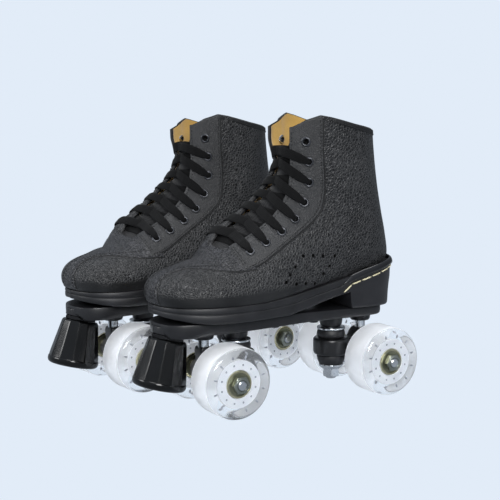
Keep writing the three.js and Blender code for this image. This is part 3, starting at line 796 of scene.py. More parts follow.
def ramp(nt, src, stops):
    r = nt.nodes.new("ShaderNodeValToRGB")
    e = r.color_ramp.elements
    while len(e) > len(stops):
        e.remove(e[-1])
    while len(e) < len(stops):
        e.new(0.5)
    for k, (p, c) in enumerate(stops):
        e[k].position = p
        e[k].color = c if hasattr(c, "__len__") else (c, c, c, 1)
    nt.links.new(src, r.inputs["Fac"])
    return r


def coords(nt, space="Object"):
    return nt.nodes.new("ShaderNodeTexCoord").outputs[space]


def noise(nt, scale, detail=4.0, rough=0.55, src=None):
    n = node(nt, "ShaderNodeTexNoise", Scale=scale, Detail=detail, Roughness=rough)
    nt.links.new(src or coords(nt), n.inputs["Vector"])
    return n.outputs["Fac"]


def bump(nt, bsdf, height, strength, dist, chain=None):
    b = node(nt, "ShaderNodeBump", Strength=strength, Distance=dist)
    nt.links.new(height, b.inputs["Height"])
    if chain is not None:
        nt.links.new(chain, b.inputs["Normal"])
    nt.links.new(b.outputs["Normal"], bsdf.inputs["Normal"])
    return b.outputs["Normal"]


def mathn(nt, op, a, b=None, clamp=False):
    n = nt.nodes.new("ShaderNodeMath")
    n.operation, n.use_clamp = op, clamp
    for k, s in enumerate((a, b)):
        if s is None:
            continue
        if isinstance(s, (int, float)):
            n.inputs[k].default_value = s
        else:
            nt.links.new(s, n.inputs[k])
    return n.outputs[0]


def leather(name, dark, light, pebble, rough, bump_amt, band=False):
    """Grained leather: domed pebbles parted by fine creases, soft tone changes, worn high spots."""
    mt, nt, b = material(name, light, rough, 0, 0.45)
    co = coords(nt)
    warp = node(nt, "ShaderNodeTexNoise", Scale=160.0, Detail=2.0)
    nt.links.new(co, warp.inputs["Vector"])
    mix = node(nt, "ShaderNodeMix", data_type="VECTOR")
    mix.inputs["Factor"].default_value = 0.0016
    nt.links.new(co, mix.inputs[4]); nt.links.new(warp.outputs["Color"], mix.inputs[5])
    vor = node(nt, "ShaderNodeTexVoronoi", feature="DISTANCE_TO_EDGE", Scale=pebble, Randomness=0.9)
    nt.links.new(mix.outputs[1], vor.inputs["Vector"])
    dome = ramp(nt, vor.outputs["Distance"], [(0.0, 0.0), (0.1, 0.55), (0.32, 1.0)])
    fine = noise(nt, 2600.0, 3.0, 0.6, co)
    broad = noise(nt, 26.0, 3.0, 0.5, co)
    h = dome.outputs["Color"]
    if band:
        sep = nt.nodes.new("ShaderNodeSeparateXYZ")
        nt.links.new(co, sep.inputs[0])
        mr = node(nt, "ShaderNodeMapRange")
        mr.inputs[1].default_value, mr.inputs[2].default_value = 0.0955, 0.1015
        wob = mathn(nt, "MULTIPLY", mathn(nt, "SUBTRACT", noise(nt, 60.0, 2.0, 0.5, co), 0.5), 0.006)
        nt.links.new(mathn(nt, "ADD", sep.outputs[2], wob), mr.inputs[0])
        one = node(nt, "ShaderNodeMix", data_type="FLOAT")
        nt.links.new(mr.outputs[0], one.inputs[0])
        one.inputs[2].default_value = 0.8
        nt.links.new(h, one.inputs[3])
        h = one.outputs[0]
    shade = mathn(nt, "MULTIPLY", h, 0.55)
    shade = mathn(nt, "ADD", shade, mathn(nt, "MULTIPLY", broad, 0.45))
    col = ramp(nt, shade, [(0.22, light), (0.74, dark)])
    nt.links.new(col.outputs["Color"], b.inputs["Base Color"])
    rr = mathn(nt, "ADD", mathn(nt, "MULTIPLY", broad, 0.16), rough - 0.08)
    rr = mathn(nt, "SUBTRACT", rr, mathn(nt, "MULTIPLY", h, 0.06))
    nt.links.new(rr, b.inputs["Roughness"])
    hh = mathn(nt, "ADD", mathn(nt, "MULTIPLY", h, 1.0), mathn(nt, "MULTIPLY", fine, 0.25))
    bump(nt, b, hh, bump_amt, 0.0006)
    return mt


M = {}
M["leather"] = leather("grained_leather", lin(5, 5, 6), lin(62, 62, 63), 420.0, 0.42, 0.85, band=True)
M["leather_fine"] = leather("fine_leather", lin(30, 30, 31), lin(58, 58, 59), 900.0, 0.45, 0.5)
M["leather_plug"] = leather("vamp_leather", lin(5, 5, 7), lin(66, 66, 69), 350.0, 0.4, 0.95)
M["edge"] = leather("cut_edge", lin(8, 8, 9), lin(20, 20, 22), 1400.0, 0.6, 0.3)


def fabric(name, dark, light, scale, rough=0.9, strength=0.5, sheen=0.25):
    mt, nt, b = material(name, light, rough, 0, 0.2)
    b.inputs["Sheen Weight"].default_value = sheen
    b.inputs["Sheen Roughness"].default_value = 0.5
    co = coords(nt)
    w1 = node(nt, "ShaderNodeTexWave", Scale=scale, Distortion=1.2, Detail=2.0)
    w1.bands_direction = "Z"
    w2 = node(nt, "ShaderNodeTexWave", Scale=scale, Distortion=1.2, Detail=2.0)
    w2.bands_direction = "DIAGONAL"
    nt.links.new(co, w1.inputs["Vector"]); nt.links.new(co, w2.inputs["Vector"])
    h = mathn(nt, "MULTIPLY", w1.outputs["Fac"], w2.outputs["Fac"])
    h = mathn(nt, "ADD", h, mathn(nt, "MULTIPLY", noise(nt, 1200.0, 4.0, 0.6, co), 0.6))
    sh = mathn(nt, "ADD", mathn(nt, "MULTIPLY", h, 0.45), mathn(nt, "MULTIPLY", noise(nt, 40.0, 3.0, 0.5, co), 0.5))
    col = ramp(nt, sh, [(0.2, dark), (0.8, light)])
    nt.links.new(col.outputs["Color"], b.inputs["Base Color"])
    bump(nt, b, h, strength, 0.0003)
    return mt


M["lining"] = fabric("tan_lining", lin(158, 122, 60), lin(214, 176, 98), 330.0, 0.85, 0.35)
M["tongue"] = fabric("tongue_cloth", lin(12, 12, 13), lin(30, 30, 32), 420.0, 0.8, 0.5)
M["insole"] = fabric("insole_cloth", lin(40, 34, 28), lin(96, 80, 58), 300.0, 0.9, 0.4)


def lace_material():
    """Flat braid: two crossing sets of yarns in a herringbone, taken from the lace's own length and width."""
    mt, nt, b = material("lace_braid", lin(16, 16, 17), 0.85, 0, 0.12)
    b.inputs["Sheen Weight"].default_value = 0.04
    at = nt.nodes.new("ShaderNodeAttribute"); at.attribute_name = "flow"
    sep = nt.nodes.new("ShaderNodeSeparateXYZ")
    nt.links.new(at.outputs["Vector"], sep.inputs[0])
    u, v = sep.outputs[0], sep.outputs[1]
    av = mathn(nt, "ABSOLUTE", v)
    k1 = mathn(nt, "MULTIPLY", mathn(nt, "ADD", u, av), 2 * math.pi / 0.0011)
    k2 = mathn(nt, "MULTIPLY", v, 2 * math.pi / 0.0013)
    h = mathn(nt, "ADD", mathn(nt, "MULTIPLY", mathn(nt, "SINE", k1), 0.5), 0.5)
    g = mathn(nt, "ADD", mathn(nt, "MULTIPLY", mathn(nt, "COSINE", k2), 0.35), 0.5)
    hh = mathn(nt, "ADD", mathn(nt, "MULTIPLY", h, g), mathn(nt, "MULTIPLY", noise(nt, 1800.0, 3.0), 0.5))
    col = ramp(nt, hh, [(0.1, lin(2, 2, 2)), (0.9, lin(20, 20, 21))])
    nt.links.new(col.outputs["Color"], b.inputs["Base Color"])
    bump(nt, b, hh, 0.6, 0.0003)
    return mt


M["lace"] = lace_material()


def simple(name, c1, c2, rough, metal=0.0, spec=0.5, scale=60.0, fine=1500.0, bstr=0.15, rvar=0.12, dist=0.0002, coat=0.0):
    mt, nt, b = material(name, c1, rough, metal, spec)
    b.inputs["Coat Weight"].default_value = coat
    b.inputs["Coat Roughness"].default_value = 0.12
    co = coords(nt)
    n1, n2 = noise(nt, scale, 4.0, 0.55, co), noise(nt, fine, 3.0, 0.6, co)
    col = ramp(nt, mathn(nt, "ADD", mathn(nt, "MULTIPLY", n1, 0.75), mathn(nt, "MULTIPLY", n2, 0.25)), [(0.3, c1), (0.7, c2)])
    nt.links.new(col.outputs["Color"], b.inputs["Base Color"])
    rr = mathn(nt, "ADD", mathn(nt, "MULTIPLY", n1, rvar), rough - rvar / 2, True)
    nt.links.new(rr, b.inputs["Roughness"])
    bump(nt, b, n2, bstr, dist)
    return mt


M["sole"] = simple("moulded_sole", lin(18, 18, 20), lin(34, 34, 37), 0.46, bstr=0.2)
M["heel"] = simple("heel_block", lin(24, 24, 27), lin(38, 38, 41), 0.4, bstr=0.15)
M["rand"] = simple("glossy_strip", lin(14, 14, 16), lin(24, 24, 27), 0.22, bstr=0.08, coat=0.4)
M["thread_dark"] = simple("dark_thread", lin(3, 3, 3), lin(12, 12, 13), 0.6, bstr=0.3)
M["thread_cream"] = simple("cream_thread", lin(206, 196, 156), lin(236, 228, 196), 0.65, bstr=0.4)
M["plate"] = simple("plate_plastic", lin(16, 16, 18), lin(32, 32, 35), 0.34, bstr=0.12)
M["stop"] = simple("glossy_rubber", lin(2, 2, 2), lin(7, 7, 8), 0.17, spec=0.38, bstr=0.03, rvar=0.08)
M["black_steel"] = simple("black_steel", lin(18, 18, 19), lin(34, 34, 36), 0.35, metal=0.7, bstr=0.1)
M["hanger"] = simple("black_enamel", lin(12, 12, 13), lin(24, 24, 26), 0.3, spec=0.55, bstr=0.25, fine=700.0)
M["cushion"] = simple("cushion_rubber", lin(20, 20, 22), lin(32, 32, 35), 0.5, bstr=0.15)
M["steel"] = simple("bright_zinc", lin(186, 190, 194), lin(226, 229, 232), 0.22, metal=1.0, bstr=0.06, rvar=0.14)
M["bearing"] = simple("bearing_steel", lin(176, 170, 134), lin(222, 217, 186), 0.2, metal=1.0, bstr=0.04)
M["shield"] = simple("bearing_shield", lin(120, 122, 104), lin(176, 176, 152), 0.3, metal=0.9, bstr=0.05)
M["gunmetal"] = simple("gunmetal", lin(48, 49, 52), lin(86, 87, 91), 0.3, metal=0.8, bstr=0.08)
# near-black material for the discs under the blind air holes: painted shade standing in for the dark hole bottoms
M["hole"] = simple("painted_hole_shade", lin(2, 2, 2), lin(6, 6, 6), 0.9, spec=0.1, bstr=0.1)
M["nut"] = simple("nut_zinc", lin(128, 132, 124), lin(178, 182, 174), 0.28, metal=1.0, bstr=0.06)
M["core"] = simple("white_core", lin(206, 208, 212), lin(228, 229, 232), 0.35, bstr=0.05)
M["dots"] = simple("core_dots", lin(140, 142, 150), lin(176, 178, 186), 0.4, bstr=0.05)
M["pale"] = simple("cream_backing", lin(196, 196, 172), lin(226, 224, 204), 0.8, bstr=0.4)


def clear_urethane():
    mt, nt, b = material("clear_urethane", (0.93, 0.95, 0.97, 1), 0.14, 0, 0.5)
    b.inputs["Transmission Weight"].default_value = 0.93
    # a very faint painted glow in the clear urethane
    b.inputs["Emission Color"].default_value = (0.95, 0.97, 1.0, 1)
    b.inputs["Emission Strength"].default_value = 0.01
    b.inputs["IOR"].default_value = 1.46
    co = coords(nt)
    n1 = noise(nt, 45.0, 3.0, 0.5, co)
    col = ramp(nt, n1, [(0.3, (0.88, 0.91, 0.94, 1)), (0.7, (0.96, 0.97, 0.98, 1))])
    nt.links.new(col.outputs["Color"], b.inputs["Base Color"])
    nt.links.new(mathn(nt, "ADD", mathn(nt, "MULTIPLY", n1, 0.1), 0.08), b.inputs["Roughness"])
    bump(nt, b, noise(nt, 900.0, 2.0, 0.5, co), 0.04, 0.0002)
    return mt


M["urethane"] = clear_urethane()


def frosted_tread():
    """The ground running face of the wheel: cloudy white, light still comes through; a small emission adds a painted
    glow that whitens it.
    """
    mt, nt, b = material("frosted_tread", (0.95, 0.95, 0.96, 1), 0.3, 0, 0.5)
    b.inputs["Transmission Weight"].default_value = 0.76
    # painted glow: the tread emits pale light of its own so it reads whiter
    b.inputs["Emission Color"].default_value = (0.95, 0.97, 1.0, 1)
    b.inputs["Emission Strength"].default_value = 0.125
    b.inputs["IOR"].default_value = 1.42
    co = coords(nt)
    n1 = noise(nt, 60.0, 4.0, 0.55, co)
    col = ramp(nt, n1, [(0.3, (0.92, 0.93, 0.95, 1)), (0.7, (1.0, 1.0, 1.0, 1))])
    nt.links.new(col.outputs["Color"], b.inputs["Base Color"])
    nt.links.new(mathn(nt, "ADD", mathn(nt, "MULTIPLY", n1, 0.25), 0.26), b.inputs["Roughness"])
    bump(nt, b, noise(nt, 1400.0, 3.0, 0.6, co), 0.12, 0.0002)
    return mt


M["tread"] = frosted_tread()


# ------------------------------------------------------------------ boot pieces
def basis(n):
    n = unit(n)
    u = unit(np.cross([0, 0, 1.0] if abs(n[2]) < 0.9 else [1.0, 0, 0], n))
    return np.stack([u, np.cross(n, u), n], 1)


def peg(p, n, r, h0, h1, segs=20):
    return lathe([[0, h0], [r, h0], [r, h1], [0, h1]], segs).moved(basis(n), p)


EY = [nearest(e) for e in EYELETS]
shell = boot_shell()
bvh = BVHTree.FromPolygons([Vector(v) for v in shell.v], shell.f)
eyelet_cut, vent_cut, vent_shade_discs, vent_tp = Geo(), Geo(), Geo(), []
T_, P_ = np.meshgrid(np.arange(7, 19, 0.04), np.arange(0.6, 2.6, 0.01), indexing="ij")
_G = boot(T_, P_)
for x, z in VENTS:
    k = np.unravel_index(np.argmin((_G[..., 0] - x) ** 2 + (_G[..., 2] - z) ** 2), T_.shape)
    vent_tp.append((float(T_[k]), float(P_[k])))
for h in (1, -1):
    for t, ph in EY:
        eyelet_cut.add(peg(surf(t, h * ph), normal(t, h * ph), 2.35, -6, 5))
    for t, ph in vent_tp:
        vent_cut.add(peg(surf(t, h * ph), normal(t, h * ph), 1.5, -2.0, 2, 16))
        # a near-black disc at the bottom of each air hole: painted shade
        vent_shade_discs.add(peg(surf(t, h * ph), normal(t, h * ph), 1.6, -2.2, -1.0, 16))
shell_cut = boolean(shell, [eyelet_cut, vent_cut])

eyestays = [boolean(panel(eyestay_grid(h), 1.05, 0.9), [eyelet_cut]) for h in (1, -1)]

# vamp plug: laid over the toe from the throat down to the sole
_prof = np.vstack([boot(np.linspace(8.9, 0.25, 120), 0.0), boot(np.linspace(0.25, 1.25, 30), math.pi)])
_prof = _prof[(_prof[:, 2] > 88.9) | (_prof[:, 0] < 100)][:, [0, 2]]
_ps = np.concatenate([[0], np.cumsum(np.linalg.norm(np.diff(_prof, axis=0), axis=1))])
_tanp = unit(np.stack([np.gradient(_prof[:, 0]), np.gradient(_prof[:, 1])], -1))
for _ in range(3):
    _tanp[1:-1] = unit(_tanp[:-2] + 2 * _tanp[1:-1] + _tanp[2:])
_ank = np.array([[61, 128.8, 33.2], [68.8, 125, 32], [78.6, 121.6, 26.6], [87, 119.3, 18.8], [94, 117.6, 12.2], [101, 116, 8.6],
    [110, 113, 7.6], [116, 109.5, 8.4], [119.5, 106, 9.6], [121.5, 100, 10.6], [120.5, 92, 11.2], [119.6, 88.6, 11.6]])
_as = [float(_ps[np.argmin(((_prof - a[:2]) ** 2).sum(1))]) for a in _ank]
_o = np.argsort(_as)
plug_w = lambda s: np.interp(s, np.array(_as)[_o], _ank[_o, 2])
_cs = np.linspace(0, _ps[-1], 60)
_cw = plug_w(_cs)
for _ in range(4):
    _cw[1:-1] = (_cw[:-2] + 2 * _cw[1:-1] + _cw[2:]) / 4
s_throat = float(_ps[np.argmin(np.abs(_prof[:, 0] - 61.0))])


def plug_point(s, y):
    c = np.array([np.interp(s, _ps, _prof[:, k]) for k in range(2)])
    tn = unit(np.array([np.interp(s, _ps, _tanp[:, k]) for k in range(2)]))
    n = Vector((-tn[1], 0, tn[0])) if -tn[1] + tn[0] * 0 > 0 or tn[0] > 0 else Vector((tn[1], 0, -tn[0]))
    if n.z < 0 and n.x < 0:
        n = -n
    n = Vector((abs(n.x), 0, n.z)) if c[0] > 100 else Vector((n.x, 0, abs(n.z)))
    o = Vector((c[0], y + float(lean(c[0])), c[1])) + n * 30
    hit = bvh.ray_cast(o, -n, 70.0)
    return np.array(hit[0]) if hit[0] is not None else None


def plug_grid():
    u, v = edges01(96, 0.007), edges01(44, 0.02) * 2 - 1
    P = np.zeros((len(u), len(v), 3))
    for j, vv in enumerate(v):
        for i, uu in enumerate(u):
            s0 = s_throat - 7.0 * float(smooth01((abs(vv) * 33 - 7) / 4.5))
            s = s0 + (_ps[-1] - 0.6 - s0) * uu
            q = plug_point(s, vv * float(np.interp(s, _cs, _cw)))
            P[i, j] = q if q is not None else np.nan
    for j in range(len(v)):
        ok = np.flatnonzero(~np.isnan(P[:, j, 0]))
        for i in np.flatnonzero(np.isnan(P[:, j, 0])):
            P[i, j] = P[ok[np.argmin(np.abs(ok - i))], j]
    return P


def grid_normals(P):
    n = unit(np.cross(np.gradient(P, axis=1), np.gradient(P, axis=0)))
    c = P.mean((0, 1)) - [20, 0, 30]
    if ((P - c) * n).sum(-1).mean() < 0:
        n = -n
    for _ in range(2):
        n[1:-1, 1:-1] = unit(n[1:-1, 1:-1] * 2 + n[:-2, 1:-1] + n[2:, 1:-1] + n[1:-1, :-2] + n[1:-1, 2:])
    return n


PG = plug_grid()
PN = grid_normals(PG)
_a = np.vstack([np.zeros((1, PG.shape[1])), np.cumsum(np.linalg.norm(np.diff(PG, axis=0), axis=-1), 0)])
_b = np.hstack([np.zeros((PG.shape[0], 1)), np.cumsum(np.linalg.norm(np.diff(PG, axis=1), axis=-1), 1)])
_d = np.minimum(np.minimum(_a, _a[-1:] - _a), np.minimum(_b, _b[:, -1:] - _b))
_hh = 0.8 * (0.25 + 0.75 * np.sqrt(np.maximum(1 - (1 - np.clip(_d / 0.9, 0, 1)) ** 2, 0)))
plug = slab(PG + PN * _hh[..., None], PG - PN * 0.5)


def phi_at_y(t, y):
    """Angle near the back line at which the boot is |y| from its centre plane."""
    F = form_at(t)
    return math.pi - np.sign(y) * np.arcsin(np.clip((np.abs(y) / F[..., 4]) ** (F[..., 7] / 2), 0, 1))


def back_strip(half=7.5):
    ys = (edges01(12, 0.05) * 2 - 1) * half
    ts = np.linspace(14.98, 19.82, 90)
    T, Y = np.meshgrid(ts, ys, indexing="ij")
    return panel(np.stack([T, phi_at_y(T, Y)], -1), 0.7, 0.8)


def cuff_binding(h):
    v = np.linspace(0.345, 1.0, 90)
    tc = cuff_at(v)
    rows = np.array([-0.205, -0.198, -0.185, -0.15, -0.1, -0.05, -0.02, -0.006])
    G = np.zeros((len(rows), len(v), 2))
    for i, r in enumerate(rows):
        G[i, :, 0] = tc + r
        G[i, :, 1] = h * column_phi(tc + r, v)
    return panel(G, 0.5, 0.7)


bindings = [cuff_binding(h) for h in (1, -1)]
strip = back_strip()

# stitch lines, then dark strips along the seam edges as a painted shadow line
stitches_and_seam_shadow = Geo()
for h in (1, -1):
    t = np.linspace(8.02, 19.9, 260)
    ph = h * (seam_phi(t) - 0.045)
    stitches_and_seam_shadow.add(capsules(surf(t, ph), normal(t, ph), 2.1, 0.9, 0.4, 1.02))
    t = np.linspace(8.75, 18.9, 240)
    ph = h * (phi_start_fast(t) + 0.075)
    stitches_and_seam_shadow.add(capsules(surf(t, ph), normal(t, ph), 2.1, 0.9, 0.38, 1.02))
    fe = catmull(FRONT_EDGE, 80)
    for dt in (0.13, 0.27):
        w = slice(10, 72)
        stitches_and_seam_shadow.add(capsules(surf(fe[w, 0] + dt, h * fe[w, 1]), normal(fe[w, 0] + dt, h * fe[w, 1]), 2.0, 0.85, 0.38, 1.0))
    v = np.linspace(0.03, 0.93, 220)
    tc = cuff_at(v) - 0.16
    ph = h * column_phi(tc, v)
    stitches_and_seam_shadow.add(capsules(surf(tc, ph), normal(tc, ph), 2.2, 0.9, 0.36, 0.3))
    js = 7 if h < 0 else PG.shape[1] - 8
    stitches_and_seam_shadow.add(capsules(PG[12:-6, js] , PN[12:-6, js], 2.0, 0.75, 0.28, 0.85))
    t = np.linspace(15.15, 19.65, 150)
    ph = phi_at_y(t, np.full_like(t, h * 5.9))
    stitches_and_seam_shadow.add(capsules(surf(t, ph), normal(t, ph), 2.2, 0.8, 0.26, 0.7))

# dark strips just outside the eyestay and vamp plug edges: painted shadow line where the raised panel edge meets the
# leather below
for h in (1, -1):
    t = np.linspace(8.0, 19.85, 300)
    ph = h * (seam_phi(t) + 0.012)
    up_ = unit(surf(t + 0.05, ph) - surf(t - 0.05, ph))
    stitches_and_seam_shadow.add(ribbon(surf(t, ph, 0.12), np.cross(normal(t, ph), up_), 1.0, 0.5, 8))
    js = 0 if h < 0 else PG.shape[1] - 1
    e_ = unit(PG[:, js] - PG[:, js - 3 if js else 3])
    stitches_and_seam_shadow.add(ribbon(PG[:, js] + e_ * 0.35 + PN[:, js] * 0.1, e_, 1.0, 0.5, 8))

# eyelet rings, flanged on both faces of the leather
ring_prof = rounded([[1.95, -3.5, 0.2], [2.4, -3.5, 0.2], [2.4, 1.05, 0.1], [4.0, 1.1, 0.15],
    [4.05, 1.5, 0.3], [3.3, 2.05, 0.5], [2.5, 1.9, 0.5], [2.12, 1.2, 0.3]], 0.3, 4)
rings, washers = Geo(), Geo()
washer_prof = rounded([[2.42, -3.35, 0.2], [3.4, -3.3, 0.4], [4.0, -2.75, 0.3], [4.0, -2.45, 0.1], [2.42, -2.45, 0.1]], 0.3, 4)
for h in (1, -1):
    for t, ph in EY:
        washers.add(lathe(washer_prof, 36).moved(basis(normal(t, h * ph)), surf(t, h * ph)))
        rings.add(lathe(ring_prof, 40).moved(basis(normal(t, h * ph)), surf(t, h * ph)))


# lace: one flat braid from the lowest pair of eyelets up both sides, ends tucked behind the flaps
def lace_path(near_sign):
    """(t, phi, height, width, thickness) along the lace; the straps from the near side lie on top."""
    E = EY[1:]  # the top pair stays empty
    last = len(E) - 1

    def half(first):
        pts = []
        h = first
        # from the middle of the bottom bar out to the lowest eyelet
        t8, p8 = E[last]
        pts.append((t8 - 0.05, 0.0, -3.6, 7.2, 1.2))
        pts.append((t8 - 0.03, h * p8 * 0.55, -4.1, 7.0, 1.2))
        i = last
        while i >= 1:
            t0, p0 = E[i]
            t1, p1 = E[i - 1]
            over = h == near_sign
            pts.append((t0, h * p0, -3.6, 4.2, 2.2))
            pts.append((t0, h * p0, -1.0, 3.9, 3.2))
            pts.append((t0, h * p0, 1.4, 4.0, 2.8))
            mid = -1.2 if over else -2.7
            for f, hh, w in ((0.05, 2.75, 5.8), (0.11, 2.6, 7.3), (0.2, 2.2, 7.9), (0.33, 1.0, 8.0), (0.42, -0.1, 7.8), (0.5, mid, 7.8), (0.6, mid - 0.9, 7.8),
                             (0.7, -3.9, 7.6), (0.84, -4.3, 7.0), (0.95, -4.5, 5.2)):
                tt = t0 + (t1 - t0) * (f ** 1.5)
                pp = h * (p0 + (-p1 - p0) * f)
                pts.append((tt, pp, hh, w, 1.3 if w > 6 else 1.55))
            h = -h
            i -= 1
        t0, p0 = E[0]
        pts.append((t0, h * p0, -3.6, 4.2, 2.2))
        pts.append((t0, h * p0, -1.0, 3.9, 3.2))
        pts.append((t0, h * p0, 1.4, 4.0, 2.8))
        near = h == near_sign
        lift = 0.0 if near else -1.3
        for f, hh, w in ((0.05, 2.7, 5.8), (0.11, 2.5, 7.3), (0.2, 2.1, 7.9), (0.33, 1.0, 8.0), (0.44, 0.0, 7.8), (0.55, -0.8, 7.6), (0.66, -2.2, 7.2), (0.76, -4.0, 6.8), (0.9, -4.6, 6.8), (1.0, -4.8, 6.8)):
            tt = t0 + (0.12 if near else 0.35) * f
            pts.append((tt, h * (p0 - 2 * p0 * f), hh + (lift if f > 0.3 else 0), w, 1.3))
        return pts
    a, b = half(1), half(-1)
    return a[::-1] + b[1:]


def lace_geo(near_sign):
    q = np.array(lace_path(near_sign))
    P = surf(q[:, 0], q[:, 1], q[:, 2])
    # taut between the facings: a strap runs straight from edge to edge over the tongue
    A = unit(boot(q[:, 0] + 0.05, q[:, 1]) - boot(q[:, 0] - 0.05, q[:, 1]))
    n = 7 * len(P)
    pts = np.hstack([P, A, q[:, 3:5]])
    d = np.concatenate([[0], np.cumsum(np.maximum(np.linalg.norm(np.diff(P, axis=0), axis=1), 0.4))])
    # centripetal-like smooth curve through the points
    u = np.arange(0, d[-1], 0.75)
    out = np.stack([np.interp(u, d, pts[:, k]) for k in range(pts.shape[1])], -1)
    for _ in range(5):
        out[1:-1] = (out[:-2] + 2 * out[1:-1] + out[2:]) / 4
    wob = np.interp(u, np.arange(0, d[-1] + 30, 22.0), RNG.uniform(-1, 1, len(np.arange(0, d[-1] + 30, 22.0))))
    up = unit(out[:, 3:6])
    return ribbon(out[:, :3] + up * (wob * 0.45)[:, None], up, out[:, 6], out[:, 7], 14)


laces = {"left": lace_geo(1), "right": lace_geo(-1)}


def tongue_geo(near):
    us, vs = edges01(90, 0.008), edges01(30, 0.03) * 2 - 1
    top, bot = np.zeros((len(us), len(vs), 3)), np.zeros((len(us), len(vs), 3))
    for i, uu in enumerate(us):
        for j, vv in enumerate(vs):
            corner = 1.0 if uu < 0.93 else math.sqrt(max(1 - ((uu - 0.93) / 0.07) ** 2 * 0.55, 0))
            yw = 21.0 * corner
            wing = float(smooth01((near * vv - 0.1) / 0.6))
            t = 7.25 + (17.25 + 1.7 * wing - 7.25) * uu
            y = vv * (yw + 5.5 * wing * uu)
            F = form_at(t)
            n1 = F[6]
            wi = F[4] - 5.2
            ph = math.copysign(math.asin(min((abs(y) / wi) ** (n1 / 2), 1)), y) if wi > 0 else 0
            e = min(uu * 100, (1 - uu) * 100, (1 - abs(vv)) * 21) / 1.4
            rnd = math.sqrt(max(1 - (1 - min(e, 1)) ** 2, 0))
            crown = 0.9 * (1 - vv * vv)
            top[i, j] = boot(t, ph, 6.5 - 1.3 * rnd - crown * 0.5)
            bot[i, j] = boot(t, ph, 6.7 + 1.3 * rnd)
    return slab(top, bot)


tongue = {"left": tongue_geo(1), "right": tongue_geo(-1)}


def insole_geo():
    ts = np.linspace(1.7, 14.4, 70)
    ks = np.linspace(-1, 1, 21)
    top, bot = np.zeros((70, 21, 3)), np.zeros((70, 21, 3))
    for i, t in enumerate(ts):
        p = boot(t, phi_end(t, 0.0), 3.3)
        y0 = float(lean(p[0]))
        w = max(p[1] - y0, 1.0)
        for j, k in enumerate(ks):
            edge = 1 - abs(k) ** 6
            z = float(feather(p[0]))
            top[i, j] = [p[0], y0 + k * w, z + 1.4 + 1.2 * edge - 0.5 * (1 - k * k)]
            bot[i, j] = [p[0], y0 + k * w * 0.985, z + 0.35]
    return slab(top, bot)


insole = insole_geo()


# ------------------------------------------------------------------ sole, plate
def outline(rows, front, rear, n=190, keep=()):
    """Half outline from toe to heel as x, half width, outward normal; tips are rounded in."""
    r = [[x, w] for x, w in rows]
    pts = [[r[1][0], -r[1][1]], [r[0][0], -r[0][1]], [front, 0]] + r + [[rear, 0], [r[-1][0], -r[-1][1]], [r[-2][0], -r[-2][1]]]
    c = catmull(pts, 3000)
    c = c[c[:, 1] >= 0]
    c[0, 1] = c[-1, 1] = 0
    tn = unit(np.gradient(c, axis=0))
    nn = np.stack([-tn[:, 1], tn[:, 0]], -1)
    nn *= np.sign((nn * (c - [10, 0])).sum(-1, keepdims=True) + 1e-9)
    nn[0], nn[-1] = [1, 0], [-1, 0]
    s = np.concatenate([[0], np.cumsum(np.linalg.norm(np.diff(c, axis=0), axis=1))])
    u = list(np.linspace(0, s[-1], n))
    for x in keep:
        u.append(float(np.interp(-x, -c[:, 0], s)))
    u = np.array(sorted(u))
    return np.stack([np.interp(u, s, a) for a in (c[:, 0], c[:, 1], nn[:, 0], nn[:, 1])], -1)


def slab_loft(out, z0, z1, profile, centre=lean, inner=3):
    """Closed body over an outline: side profile of (inset, share of height), flat across."""
    rings = []
    for x, w, nx, ny in out:
        a, b = z0(x), z1(x)
        side = []
        for d, f in profile:
            xx = x - d * nx
            ww = max(w - d * ny, 0.0) if w > 0 else 0.0
            side.append([xx, ww, a + (b - a) * f])
        L = [[p[0], p[1] + float(centre(p[0])), p[2]] for p in side]
        R = [[p[0], -p[1] + float(centre(p[0])), p[2]] for p in side][::-1]
        fill = lambda p, q: [[p[0], p[1] + (q[1] - p[1]) * k / (inner + 1), p[2]] for k in range(1, inner + 1)]
        rings.append(L + fill(L[-1], R[0]) + R + fill(R[-1], L[0]))
    g = loft(rings, cap=False)
    v, f = weld(g.v, g.f, 2e-3)
    used = sorted({a for q in f for a in q})
    rm = {a: k for k, a in enumerate(used)}
    return outward(Geo(v[used], [[rm[a] for a in q] for q in f]))


sole_rows = [[x, w] for x, z, w in SOLE]
stitch_z = lambda x: float(np.interp(x, [-102, -90, -48.6, -38.0, -30], [107.6, 105.0, 94.7, 86.6, 84.3]))
sole_under = lambda x: float(np.interp(x, SOLE[::-1, 0], SOLE[::-1, 1]))
band_under = lambda x: sole_under(x) if x > -38 else stitch_z(x)
band_out = outline(sole_rows, 120.4, -102.3, 210, keep=(-38.0, -48.6))
band = slab_loft(band_out, band_under, lambda x: float(feather(x)) - 0.25,
    [(1.5, 0.0), (0.55, 0.05), (0.1, 0.16), (0.0, 0.3), (0.0, 0.5), (0.18, 0.53), (0.65, 0.56), (0.65, 0.6), (0.18, 0.63), (0.0, 0.67), (0.05, 0.85), (0.4, 0.95), (1.5, 1.0)])
heel_out = outline([r for r in sole_rows if r[0] <= -26], -25.0, -102.0, 120, keep=(-38.2, -47.6, -48.2, -49.0, -49.6))
ho = outline(sole_rows, 120.4, -102.3, 400, keep=(-38.4, -47.5, -48.1, -48.9, -49.7))
ho = ho[ho[:, 0] <= -38.39]
heel_under = lambda x: float(np.interp(x, [-102.5, -97.4, -92, -49.7, -48.9, -48.1, -47.5, -38.4], [74.6, 73.0, 72.8, 73.6, 74.6, 80, 87.4, 85.9]))
heel_taper = lambda z: 0.6
heel_rings = []
